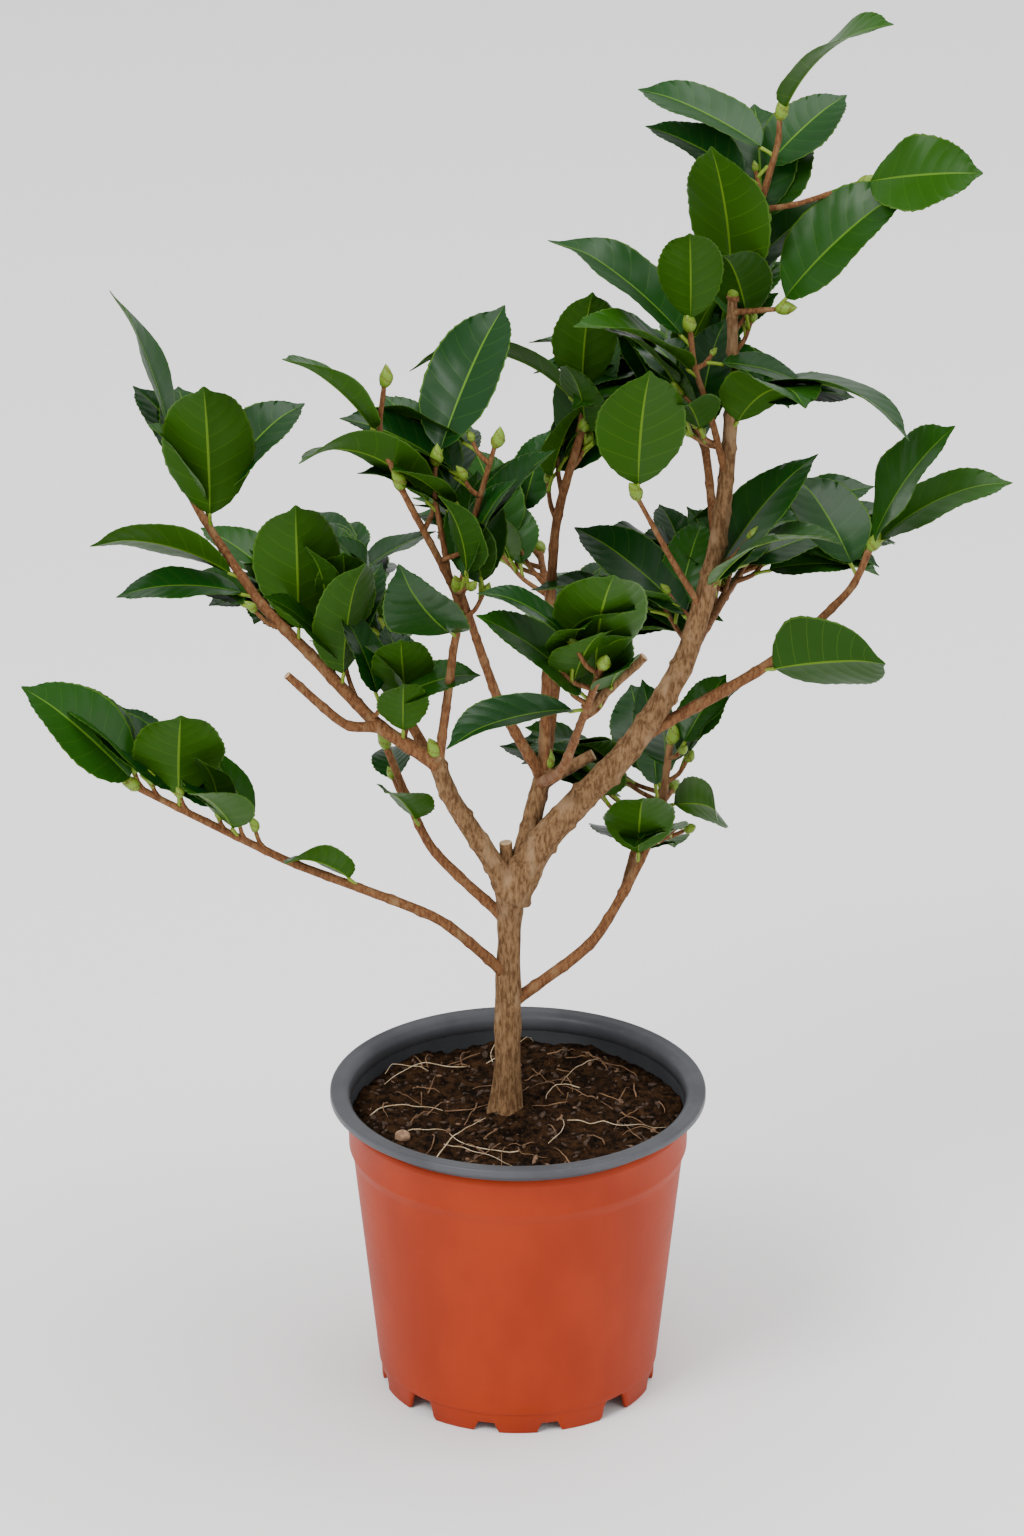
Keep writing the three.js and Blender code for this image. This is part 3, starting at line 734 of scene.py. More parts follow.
@dataclass
class Soil:
    """The compost: a crumbly top with chips of bark, fibres, pale roots and one pebble."""

    level: float = 147.0
    radius: float = 84.0
    depth: float = 14.0
    rings: int = 84
    steps: int = 300
    chips: int = 420
    pale_roots: int = 15
    brown_fibres: int = 60
    noise: Noise = field(default_factory=lambda: Noise(SEED + 1))

    def height(self, x: Array, y: Array) -> Array:
        """The top's height: broad lumps, crumbs and grit added up, sinking towards the wall."""
        flat = np.stack([x, y, np.zeros_like(x)], -1)
        broad = 2.4 * self.noise(flat, 17.0)
        crumbs = 1.5 * np.abs(self.noise(flat + 40.0, 6.5)) + 0.9 * self.noise(flat + 90.0, 2.8)
        grit = 0.45 * self.noise(flat + 10.0, 1.3)
        edge = smooth(0.72, 1.0, np.hypot(x, y) / self.radius)
        mound = 2.5 * bell(np.hypot(x + 6.5, y), 0.0, 20.0)
        return self.level + broad + crumbs + grit + mound - 2.2 * edge

    def top(self) -> Shell:
        """The plug: rings from the axis out over the top, then down the side and in under it."""
        reach = np.concatenate([np.linspace(0.0, 1.0, self.rings) ** 0.8, [1.0, 0.0]])[:, None]
        angle = np.linspace(0.0, 2 * np.pi, self.steps, endpoint=False)[None, :]
        x, y = self.radius * reach * np.cos(angle), self.radius * reach * np.sin(angle)
        z = self.height(x, y)
        z[0] = z[0].mean()
        z[-2:] = self.level - self.depth
        points = np.stack([x, y, z], -1)
        faces = grid_faces(len(points), self.steps, True).reshape(-1, 4)
        return Shell(points.reshape(-1, 3), faces, np.zeros(len(faces), int))

    def crumbs(self, rng: np.random.Generator) -> Shell:
        """Chips: flattened balls of a few faces, each stretched, turned and half sunk in the top."""
        angle, lift = np.meshgrid(np.linspace(0, 2 * np.pi, 6, endpoint=False),
                                  np.radians([-90.0, -35.0, 35.0, 90.0]))
        ball = np.stack([np.cos(lift) * np.cos(angle), np.cos(lift) * np.sin(angle), np.sin(lift)], -1)
        ball = ball.reshape(1, -1, 3)
        reach = self.radius * 0.96 * np.sqrt(rng.uniform(0.02, 1.0, self.chips))
        spin = rng.uniform(0, 2 * np.pi, self.chips)
        size = rng.uniform(0.8, 2.8, (self.chips, 1)) * np.array([1.0, 0.5, 0.34])
        size = size * rng.uniform(0.7, 1.3, (self.chips, 3))
        lumpy = ball * (1.0 + 0.22 * rng.uniform(-1, 1, (self.chips, ball.shape[1], 1)))
        local = lumpy * size[:, None]
        turn = rng.uniform(0, 2 * np.pi, self.chips)[:, None]
        tilt = rng.normal(0.0, 0.5, self.chips)[:, None]
        x, z = local[..., 0] * np.cos(tilt) - local[..., 2] * np.sin(tilt), \
            local[..., 0] * np.sin(tilt) + local[..., 2] * np.cos(tilt)
        world_x = x * np.cos(turn) - local[..., 1] * np.sin(turn)
        world_y = x * np.sin(turn) + local[..., 1] * np.cos(turn)
        cx, cy = reach * np.cos(spin), reach * np.sin(spin)
        base = np.stack([cx, cy, self.height(cx, cy) + 0.2 * size[:, 2]], -1)
        points = np.stack([world_x, world_y, z], -1) + base[:, None]
        faces = grid_faces(4, 6, True).reshape(1, -1, 4) + 24 * np.arange(self.chips)[:, None, None]
        slots = np.repeat(rng.choice([0, 0, 0, 0, 0, 0, 1], self.chips), faces.shape[1])
        return Shell(points.reshape(-1, 3), faces.reshape(-1, 4), slots)

    def strand(self, start: Array, heading: float, length: float, thick: float, bend: float,
               rng: np.random.Generator) -> Shell:
        """One root or fibre lying on the soil: a tube whose heading swings along its length.

        Args:
            start: x and y of its start.
            heading: its first heading, in degrees.
            length: its length.
            thick: its greatest radius.
            bend: how far the heading swings, in degrees.
            rng: the source of its small kinks.

        Returns:
            The closed shell, thinner towards its tip.
        """
        count = 9
        t = np.linspace(0.0, 1.0, count)
        kinks = rng.normal(0.0, 9.0, count).cumsum() * 0.5
        turn = np.radians(heading + bend * t + kinks)
        step = length / (count - 1)
        x = start[0] + np.concatenate([[0.0], np.cumsum(np.cos(turn[:-1]))]) * step
        y = start[1] + np.concatenate([[0.0], np.cumsum(np.sin(turn[:-1]))]) * step
        over = np.hypot(x, y) / (self.radius - 2.0)
        x, y = x / np.maximum(over, 1.0), y / np.maximum(over, 1.0)
        hump = rng.uniform(0.5, 3.2) * np.sin(np.pi * t)
        path = Path(np.stack([x, y, self.height(x, y) + 0.5 + hump], -1))
        return tube(path, lambda a, _: thick * (1.0 - 0.55 * a) + 0 * _, 5, 2.4)

    def strands(self, count: int, lengths: tuple[float, float], thick: tuple[float, float],
                rng: np.random.Generator) -> Shell:
        """Several strands with random starts, headings and bends."""
        made = []
        for _ in range(count):
            reach = (self.radius - 8.0) * math.sqrt(rng.uniform(0.05, 1.0))
            spin = rng.uniform(0, 2 * math.pi)
            start = np.array([reach * math.cos(spin), reach * math.sin(spin)])
            made.append(self.strand(start, rng.uniform(0, 360), rng.uniform(*lengths),
                                    rng.uniform(*thick), rng.uniform(-90, 90), rng))
        return Shell.joined(made)

    def pebble(self) -> Shell:
        """A pebble: a ball stretched to three sizes and dented by noise."""
        angle, lift = np.meshgrid(np.linspace(0, 2 * np.pi, 28, endpoint=False),
                                  np.linspace(-np.pi / 2, np.pi / 2, 16))
        ball = np.stack([np.cos(lift) * np.cos(angle), np.cos(lift) * np.sin(angle), np.sin(lift)], -1)
        dent = 1.0 + 0.16 * self.noise(ball * 12.0, 9.0)
        centre = np.array([-58.0, -32.0, float(self.height(np.array(-58.0), np.array(-32.0))) + 1.5])
        points = ball * dent[..., None] * np.array([4.2, 3.4, 2.8]) + centre
        faces = grid_faces(16, 28, True).reshape(-1, 4)
        return Shell(points.reshape(-1, 3), faces, np.zeros(len(faces), int))

    def build(self, shop: Workshop) -> None:
        """Makes the plug and what lies on it."""
        rng = np.random.default_rng(SEED + 2)
        chip = FleckedFinish("bark_chip", (0.12, 0.065, 0.035), (0.26, 0.15, 0.085), 0.9, 1.5)
        dark_chip = FleckedFinish("dark_chip", (0.035, 0.018, 0.010), (0.085, 0.045, 0.024), 0.9, 1.5)
        root = FleckedFinish("pale_root", (0.66, 0.52, 0.34), (0.48, 0.33, 0.18), 0.7, 6.0)
        fibre = FleckedFinish("brown_fibre", (0.24, 0.13, 0.06), (0.12, 0.06, 0.03), 0.85, 4.0)
        stone = FleckedFinish("pebble", (0.36, 0.22, 0.13), (0.21, 0.12, 0.07), 0.9, 2.5)
        shop.piece("soil_top", self.top(), (SoilFinish(),), ("soil",))
        shop.piece("soil_chips", self.crumbs(rng), (dark_chip, chip))
        shop.piece("pale_roots", self.strands(self.pale_roots, (20, 55), (0.24, 0.42), rng), (root,))
        fibres = self.strands(self.brown_fibres, (8, 24), (0.25, 0.5), rng)
        shop.piece("soil_fibres", fibres, (fibre,))
        shop.piece("soil_pebble", self.pebble(), (stone,))


# ---------------------------------------------------------------- wood


@dataclass(frozen=True)
class Stem:
    """A limb or twig: where it leaves another one and the legs of [heading, rise, length] it runs."""

    name: str
    on: str
    at: float
    legs: tuple[tuple[float, float, float], ...]
    base: float
    tip: float
    cut: bool = False


LIMBS = (
    Stem("left_bough", "trunk", 0.97, ((-155, 60, 65), (-150, 70, 25)), 5.6, 4.2),
    Stem("left_leader", "left_bough", 0.96,
         ((180, 35, 35), (155, 40, 45), (155, 40, 40), (150, 50, 55), (165, 65, 30)), 3.6, 1.7),
    Stem("left_stub", "left_leader", 0.17, ((-155, 15, 20), (-170, 45, 40)), 2.6, 2.0, True),
    Stem("centre_left_stem", "left_bough", 0.94, ((-50, 80, 65), (-75, 75, 35), (-155, 65, 70)), 2.4, 1.6),
    Stem("middle_bough", "trunk", 0.96, ((30, 70, 30), (25, 75, 35)), 5.4, 4.4),
    Stem("middle_left_limb", "middle_bough", 0.94, ((-140, 60, 55), (-125, 65, 80)), 3.0, 1.9),
    Stem("centre_top_stem", "middle_bough", 0.97, ((60, 85, 125), (25, 75, 55)), 3.1, 2.0),
    Stem("centre_front_stem", "middle_bough", 0.9, ((-80, 30, 70), (-75, 50, 110)), 2.8, 1.7),
    Stem("leader", "trunk", 0.95,
         ((-10, 60, 40), (-5, 50, 60), (0, 60, 55), (10, 75, 65), (0, 85, 70), (0, 90, 60)), 8.0, 2.4),
    Stem("right_branch", "leader", 0.31, ((5, 30, 75), (0, 45, 55), (0, 65, 25)), 3.4, 1.7),
    Stem("low_left_limb", "trunk", 0.6, ((-150, 45, 60), (-175, 25, 80), (-175, 30, 85)), 2.9, 1.6),
    Stem("inner_left_limb", "trunk", 0.82, ((160, 40, 55), (160, 65, 55)), 3.0, 1.8),
    Stem("low_right_limb", "trunk", 0.48, ((15, 35, 55), (20, 60, 65), (25, 80, 45)), 3.1, 1.8),
    Stem("back_left_limb", "left_bough", 0.85, ((125, 35, 70), (105, -5, 95)), 2.9, 1.7),
    Stem("back_limb", "middle_bough", 0.98, ((80, 50, 60), (95, 10, 95)), 3.0, 1.7),
    Stem("back_right_limb", "leader", 0.44, ((70, 10, 60), (80, -10, 75)), 2.9, 1.7),
    Stem("back_top_limb", "leader", 0.62, ((100, 50, 60), (110, 25, 60)), 2.4, 1.5),
    Stem("back_low_limb", "low_right_limb", 0.5, ((80, 10, 50), (70, 5, 50)), 2.1, 1.4),
)
TWIGS = (
    Stem("crown_shoot", "leader", 1.0, ((5, 75, 30), (5, 75, 50), (0, 85, 15)), 2.4, 1.3),
    Stem("crown_side_twig", "crown_shoot", 0.5, ((0, 10, 20), (0, 20, 30)), 1.5, 1.2),
    Stem("leader_left_twig", "leader", 0.73, ((-125, 70, 35), (-140, 70, 35), (-135, 80, 20)), 1.9, 1.3),
    Stem("inner_right_twig", "leader", 0.53, ((-130, 55, 40), (-140, 60, 45)), 1.7, 1.2),
    Stem("centre_left_mid_twig", "centre_left_stem", 0.65, ((-150, 80, 50), (-60, 85, 15)), 1.6, 1.2),
    Stem("centre_left_right_twig", "middle_left_limb", 1.0, ((0, 80, 40), (-20, 75, 40)), 1.8, 1.2),
    Stem("centre_left_top_twig", "centre_left_stem", 1.0, ((180, 70, 30), (30, 85, 25)), 1.5, 1.2),
    Stem("left_tip_twig", "left_leader", 1.0, ((100, 75, 10),), 1.5, 1.2),
    Stem("centre_top_twig", "centre_top_stem", 1.0, ((60, 85, 15),), 1.8, 1.3),
    Stem("crown_low_twig", "leader", 0.98, ((-30, 15, 25),), 1.6, 1.3),
    Stem("fork_stub", "trunk", 0.97, ((170, 85, 25),), 3.6, 3.2, True),
    Stem("middle_stub", "middle_bough", 0.9, ((0, 30, 30),), 3.4, 2.9, True),
    Stem("front_stub", "centre_front_stem", 0.75, ((0, 45, 40),), 2.6, 2.4, True),
)


@dataclass
class Wood:
    """The trunk, limbs and twigs, with the relief of their bark."""

    foot: float = 142.0
    trunk_points: tuple[tuple[float, float, float], ...] = (
        (-6, 0, 0), (-6, 0, 10), (-5, 0, 40), (-5, 2, 80), (-4, 2, 110), (-4, 0, 134),
    )
    node_spacing: float = 17.0
    noise: Noise = field(default_factory=lambda: Noise(SEED + 3))
    paths: dict[str, Path] = field(default_factory=dict)

    def __post_init__(self) -> None:
        """Works out the path of the trunk, then of each stem from the one it grows on."""
        lift = np.array([0.0, 0.0, self.foot])
        self.paths["trunk"] = Path(np.array(self.trunk_points, float) + lift, 0.5)
        for stem in (*LIMBS, *TWIGS):
            legs = np.array([polar(*leg) for leg in stem.legs])
            start = self.paths[stem.on].at(stem.at)
            self.paths[stem.name] = Path(np.vstack([start, start + np.cumsum(legs, axis=0)]))

    def trunk_radius(self, along: Array, turn: Array) -> Array:
        """Root flare, slow taper and a swelling at the fork, with ribs, knots and fissures."""
        even = 4.2 * bell(along, -0.05, 0.12) + 7.2 - 1.6 * along + 2.6 * bell(along, 1.0, 0.1)
        spot = np.stack([9 * np.cos(turn) + 0 * along, 9 * np.sin(turn) + 0 * along,
                         135.0 * along + 0 * turn], -1)
        ribs = 0.06 * np.cos(5 * turn + 3 * along) * bell(along, 0.0, 0.3)
        low_knot = 1.1 * bell(along, 0.48, 0.02) * bell(turn, 0.4, 0.7)
        high_knot = 1.2 * bell(along, 0.6, 0.02) * bell(turn, 3.1, 0.7)
        knots = low_knot + high_knot
        fissure = 0.26 * self.noise(spot * np.array([1, 1, 0.35]), 2.6) + 0.5 * self.noise(spot, 9.0)
        return even * (1.0 + ribs) + knots + fissure

    def stem_radius(self, stem: Stem) -> Callable[[Array, Array], Array]:
        """The radius of a stem: taper, a collar where it leaves, joints at its nodes and wrinkles."""
        path, offset = self.paths[stem.name], 11.0 * (len(stem.name) % 7)

        def radius(along: Array, turn: Array) -> Array:
            """Adds the four up for fractions along and turns."""
            far = along * path.length
            even = stem.base + (stem.tip - stem.base) * along
            collar = 1.0 + 0.34 * bell(far, 0.0, 2.2 * stem.base)
            node = (far / self.node_spacing + 0.5) % 1.0 - 0.5
            side = 0.5 + 0.5 * np.cos(turn - 2.4 * np.round(far / self.node_spacing))
            joint = 0.13 * bell(node * self.node_spacing, 0.0, 1.6) * (0.5 + side)
            spot = np.stack([3 * np.cos(turn) + 0 * along, 3 * np.sin(turn) + 0 * along, far + 0 * turn], -1)
            wrinkle = 0.05 * self.noise(spot * np.array([1, 1, 0.3]) + offset, 1.1)
            lumps = 0.06 * self.noise(spot + offset, 7.0)
            return even * (collar + joint + wrinkle + lumps)

        return radius

    def build(self, shop: Workshop) -> None:
        """Makes the old wood, the young limbs and the twigs."""
        trunk = tube(self.paths["trunk"], self.trunk_radius, 44, 1.4)
        thick = [stem for stem in LIMBS if stem.base > 4.5]
        thin = [stem for stem in LIMBS if stem.base <= 4.5]
        old = [trunk] + [tube(self.paths[s.name], self.stem_radius(s), 30, 1.6) for s in thick]
        stubs = [tube(self.paths[s.name], self.stem_radius(s), 20, 1.2, 1) for s in TWIGS if s.cut]
        shop.piece("old_wood", Shell.joined(old + stubs), (OLD_BARK, CutWoodFinish()),
                   ("trunk", *(s.name for s in thick)))
        limbs = [tube(self.paths[s.name], self.stem_radius(s), 16, 1.8, 1 if s.cut else None) for s in thin]
        shop.piece("young_limbs", Shell.joined(limbs), (YOUNG_BARK, CutWoodFinish()),
                   tuple(s.name for s in thin))
        twigs = [tube(self.paths[s.name], self.stem_radius(s), 12, 1.8) for s in TWIGS if not s.cut]
        shop.piece("twigs", Shell.joined(twigs), (YOUNG_BARK,))


# ---------------------------------------------------------------- leaves


class Tint(Enum):
    """The colour of a leaf, as its place in the row of upper colours."""

    DEEP = 0
    DARK = 1
    GREEN = 2
    FRESH = 3
    BRIGHT = 4


DEEP, DARK, GREEN, FRESH, BRIGHT = Tint
UNDER_OF = {DEEP: UNDERS[0], DARK: UNDERS[0], GREEN: UNDERS[1], FRESH: UNDERS[1], BRIGHT: UNDERS[2]}


@dataclass(frozen=True)
class Leaf:
    """One leaf: the stem it grows on and how far along, where it points, its size and its bend.

    A width of 0 stands for about half the length. The arch is how far the blade bends back from its
    foot to its tip, and the roll turns it about its own length, both in degrees.
    """

    stem: str
    at: float
    heading: float
    rise: float
    length: float
    width: float = 0.0
    tint: Tint = Tint.GREEN
    arch: float = 26.0
    roll: float = 0.0


@dataclass(frozen=True)
class Growth:
    """A rule for side twigs: where on a stem they leave, how many, which way, and their leaves."""

    stem: str
    start: float
    stop: float
    twigs: int
    leaves: int
    heading: float
    spread: float
    rise: float
    reach: float
    length: float = 68.0
    tints: tuple[Tint, ...] = (DEEP, DARK, GREEN)


@dataclass(frozen=True)
class Spray:
    """The leaves that stand for one mass of foliage: some placed one by one, the rest grown by rule.

    The slack is the greatest misfit that a grown leaf may have, as Room measures it.
    """

    mass: str
    leaves: tuple[Leaf, ...]
    growth: tuple[Growth, ...] = ()
    slack: float = 26.0


BACK_SLACK = 70.0  # one of a leaf's five points may show past the front masses


def back_spray(side: str, start: float, twigs: int, heading: float, rise: float, reach: float) -> Spray:
    """A spray at the back, all of it grown by rule on the limb that it is named after."""
    rule = Growth(f"{side}_limb", start, 1.0, twigs, 5, heading, 130, rise, reach, 60)
    return Spray(f"{side}_leaves", (), (rule,), BACK_SLACK)


SPRAYS = (
    Spray("crown_tip_leaves", (
        Leaf("crown_shoot", 1.0, -30, 45, 90, 40, FRESH, 45),
        Leaf("crown_shoot", 0.8, 150, 15, 80, 38, DARK),
        Leaf("crown_side_twig", 1.0, -30, 15, 70, 40, FRESH, 20, -45),
    ), (Growth("crown_shoot", 0.2, 0.9, 3, 3, 60, 120, 30, 15, 70),)),
    Spray("crown_leaves", (
        Leaf("leader", 1.0, -120, 75, 90, 46, FRESH, 25),
        Leaf("crown_low_twig", 1.0, 0, 45, 90, 46, GREEN, 25, -30),
    ), (Growth("leader", 0.9, 1.0, 3, 3, 90, 120, 30, 18, 65),)),
    Spray("leader_left_leaves", (
        Leaf("leader_left_twig", 0.9, 150, 30, 90, 40, DARK, 30),
        Leaf("leader_left_twig", 1.0, -90, 60, 80, 32, GREEN),
        Leaf("leader_left_twig", 0.7, -150, 30, 80, 36, FRESH, 40),
    ), (Growth("leader_left_twig", 0.1, 0.9, 3, 3, 110, 120, 20, 15, 62),)),
    Spray("leader_right_leaves", (
        Leaf("leader", 0.85, -30, 0, 100, 45, DARK, 60, 15),
        Leaf("leader", 0.8, -60, 30, 80, 44, GREEN, 60, 20),
    ), (Growth("leader", 0.75, 0.9, 3, 3, 60, 120, 20, 20, 62),)),
    Spray("centre_top_leaves", (
        Leaf("centre_top_twig", 1.0, -90, 75, 70, 32, FRESH, 15),
        Leaf("inner_right_twig", 1.0, -90, 75, 80, 44, FRESH, 15),
        Leaf("centre_top_twig", 0.8, 180, 15, 90, 34, FRESH, 70, -30),
    ), (Growth("centre_top_stem", 0.7, 1.0, 4, 3, 80, 120, 30, 20, 65),)),
    Spray("left_top_leaves", (
        Leaf("left_tip_twig", 0.5, 120, 45, 90, 34, DARK, 20, -45),
        Leaf("left_leader", 0.8, -90, 75, 90, 46, FRESH, 20),
    ), (Growth("left_leader", 0.75, 1.0, 3, 3, 70, 120, 35, 18, 70),)),
    Spray("left_outer_leaves", (
        Leaf("left_leader", 0.65, 180, 15, 80, 36, FRESH, 40, -45),
        Leaf("left_leader", 0.6, 180, 0, 70, 34, DARK, 40),
    ), (Growth("left_leader", 0.45, 0.65, 2, 3, 160, 80, 10, 18, 60),)),
    Spray("left_middle_leaves", (
        Leaf("left_leader", 0.45, -90, 75, 90, 44, FRESH, 20),
        Leaf("left_leader", 0.3, -60, 75, 80, 34, FRESH, 20),
    ), (Growth("left_leader", 0.2, 0.5, 4, 3, 80, 130, 30, 22, 62),)),
    Spray("inner_middle_leaves", (
        Leaf("left_leader", 0.1, -90, 60, 50, 26, FRESH),
    ), (Growth("left_leader", 0.05, 0.25, 2, 3, 60, 120, 25, 18, 55),)),
    Spray("centre_left_leaves", (
        Leaf("centre_left_stem", 0.45, -120, 45, 80, 40, DARK, 25, 160),
        Leaf("centre_left_mid_twig", 0.6, -150, 30, 90, 40, FRESH, 60, -30),
    ), (Growth("centre_left_stem", 0.45, 0.9, 4, 3, 30, 120, 30, 20, 64),)),
    Spray("centre_left_top_leaves", (
        Leaf("centre_left_top_twig", 0.5, -150, 45, 80, 36, GREEN, 30),
        Leaf("centre_left_mid_twig", 1.0, 60, 45, 90, 40, DEEP, 20),
    ), (
        Growth("centre_left_right_twig", 0.3, 1.0, 3, 3, 80, 120, 30, 15, 64),
        Growth("centre_left_top_twig", 0.3, 1.0, 2, 3, 120, 120, 30, 15, 60),
    )),
    Spray("centre_front_leaves", (
        Leaf("centre_front_stem", 0.9, -90, 60, 90, 45, FRESH, 20),
        Leaf("centre_front_stem", 0.8, -150, 45, 90, 32, GREEN, 20, 40),
    ), (Growth("centre_front_stem", 0.65, 1.0, 4, 3, 100, 130, 30, 20, 66),)),
    Spray("centre_low_leaves", (
        Leaf("centre_front_stem", 0.75, -150, 0, 80, 36, DEEP),
    ), (Growth("centre_front_stem", 0.3, 0.7, 2, 2, 100, 120, 10, 15, 55),)),
    Spray("leader_low_leaves", (
        Leaf("leader", 0.5, 150, 30, 80, 42, DEEP),
        Leaf("leader", 0.55, 30, 45, 90, 42, DARK),
        Leaf("leader", 0.55, -30, 45, 60, 36, FRESH),
    ), (Growth("leader", 0.45, 0.65, 5, 3, 60, 150, 25, 24, 65),)),
    Spray("right_leaves", (
        Leaf("right_branch", 0.45, -30, 15, 75, 56, DARK, 15, 60),
    ), (Growth("right_branch", 0.3, 0.55, 1, 3, 60, 120, 20, 15, 50),)),
    Spray("right_top_leaves", (
        Leaf("right_branch", 0.9, 120, 30, 70, 40, DARK),
        Leaf("right_branch", 1.0, -30, 60, 90, 42, GREEN, 20, -40),
        Leaf("right_branch", 1.0, 0, 30, 80, 32, FRESH, 40, -15),
    ), (Growth("right_branch", 0.85, 1.0, 1, 3, 80, 120, 30, 12, 60),)),
    Spray("low_right_leaves", (
        Leaf("low_right_limb", 0.9, 90, 0, 70, 36, DARK),
    ), (Growth("low_right_limb", 0.75, 1.0, 3, 3, 0, 150, 25, 15, 55),)),
    Spray("fork_leaves", (
        Leaf("low_right_limb", 0.8, -60, 15, 60, 30, FRESH, 50, 70),
        Leaf("low_right_limb", 0.6, -90, 60, 60, 36, FRESH),
    ), (Growth("low_right_limb", 0.55, 0.8, 1, 3, 90, 120, 15, 12, 48),)),
    Spray("low_left_tip_leaves", (
        Leaf("low_left_limb", 1.0, 180, 45, 80, 40, GREEN, 25, 40),
        Leaf("low_left_limb", 0.9, -90, 75, 60, 46, FRESH, 20),
    ), (Growth("low_left_limb", 0.85, 1.0, 4, 3, 90, 130, 40, 12, 66),)),
    Spray("low_left_leaves", (
        Leaf("low_left_limb", 0.75, -120, 45, 60, 36, FRESH),
    ), (Growth("low_left_limb", 0.65, 0.85, 4, 3, 60, 150, 40, 12, 54),)),
    Spray("low_left_inner_leaves", (
        Leaf("low_left_limb", 0.45, -150, 30, 50, 28, GREEN, 50, -30),
    ), (Growth("low_left_limb", 0.4, 0.5, 1, 2, 120, 80, 10, 10, 42),)),
    Spray("inner_left_leaves", (
        Leaf("inner_left_limb", 0.6, -120, 45, 50, 30, FRESH),
    ), (Growth("inner_left_limb", 0.65, 1.0, 2, 3, 90, 120, 20, 12, 48),)),
    back_spray("back_left", 0.3, 12, 105, 20, 30),
    back_spray("back", 0.3, 12, 90, 20, 30),
    back_spray("back_right", 0.3, 12, 80, 20, 30),
    back_spray("back_top", 0.3, 10, 95, 25, 26),
    back_spray("back_low", 0.2, 9, 85, 15, 30),
)


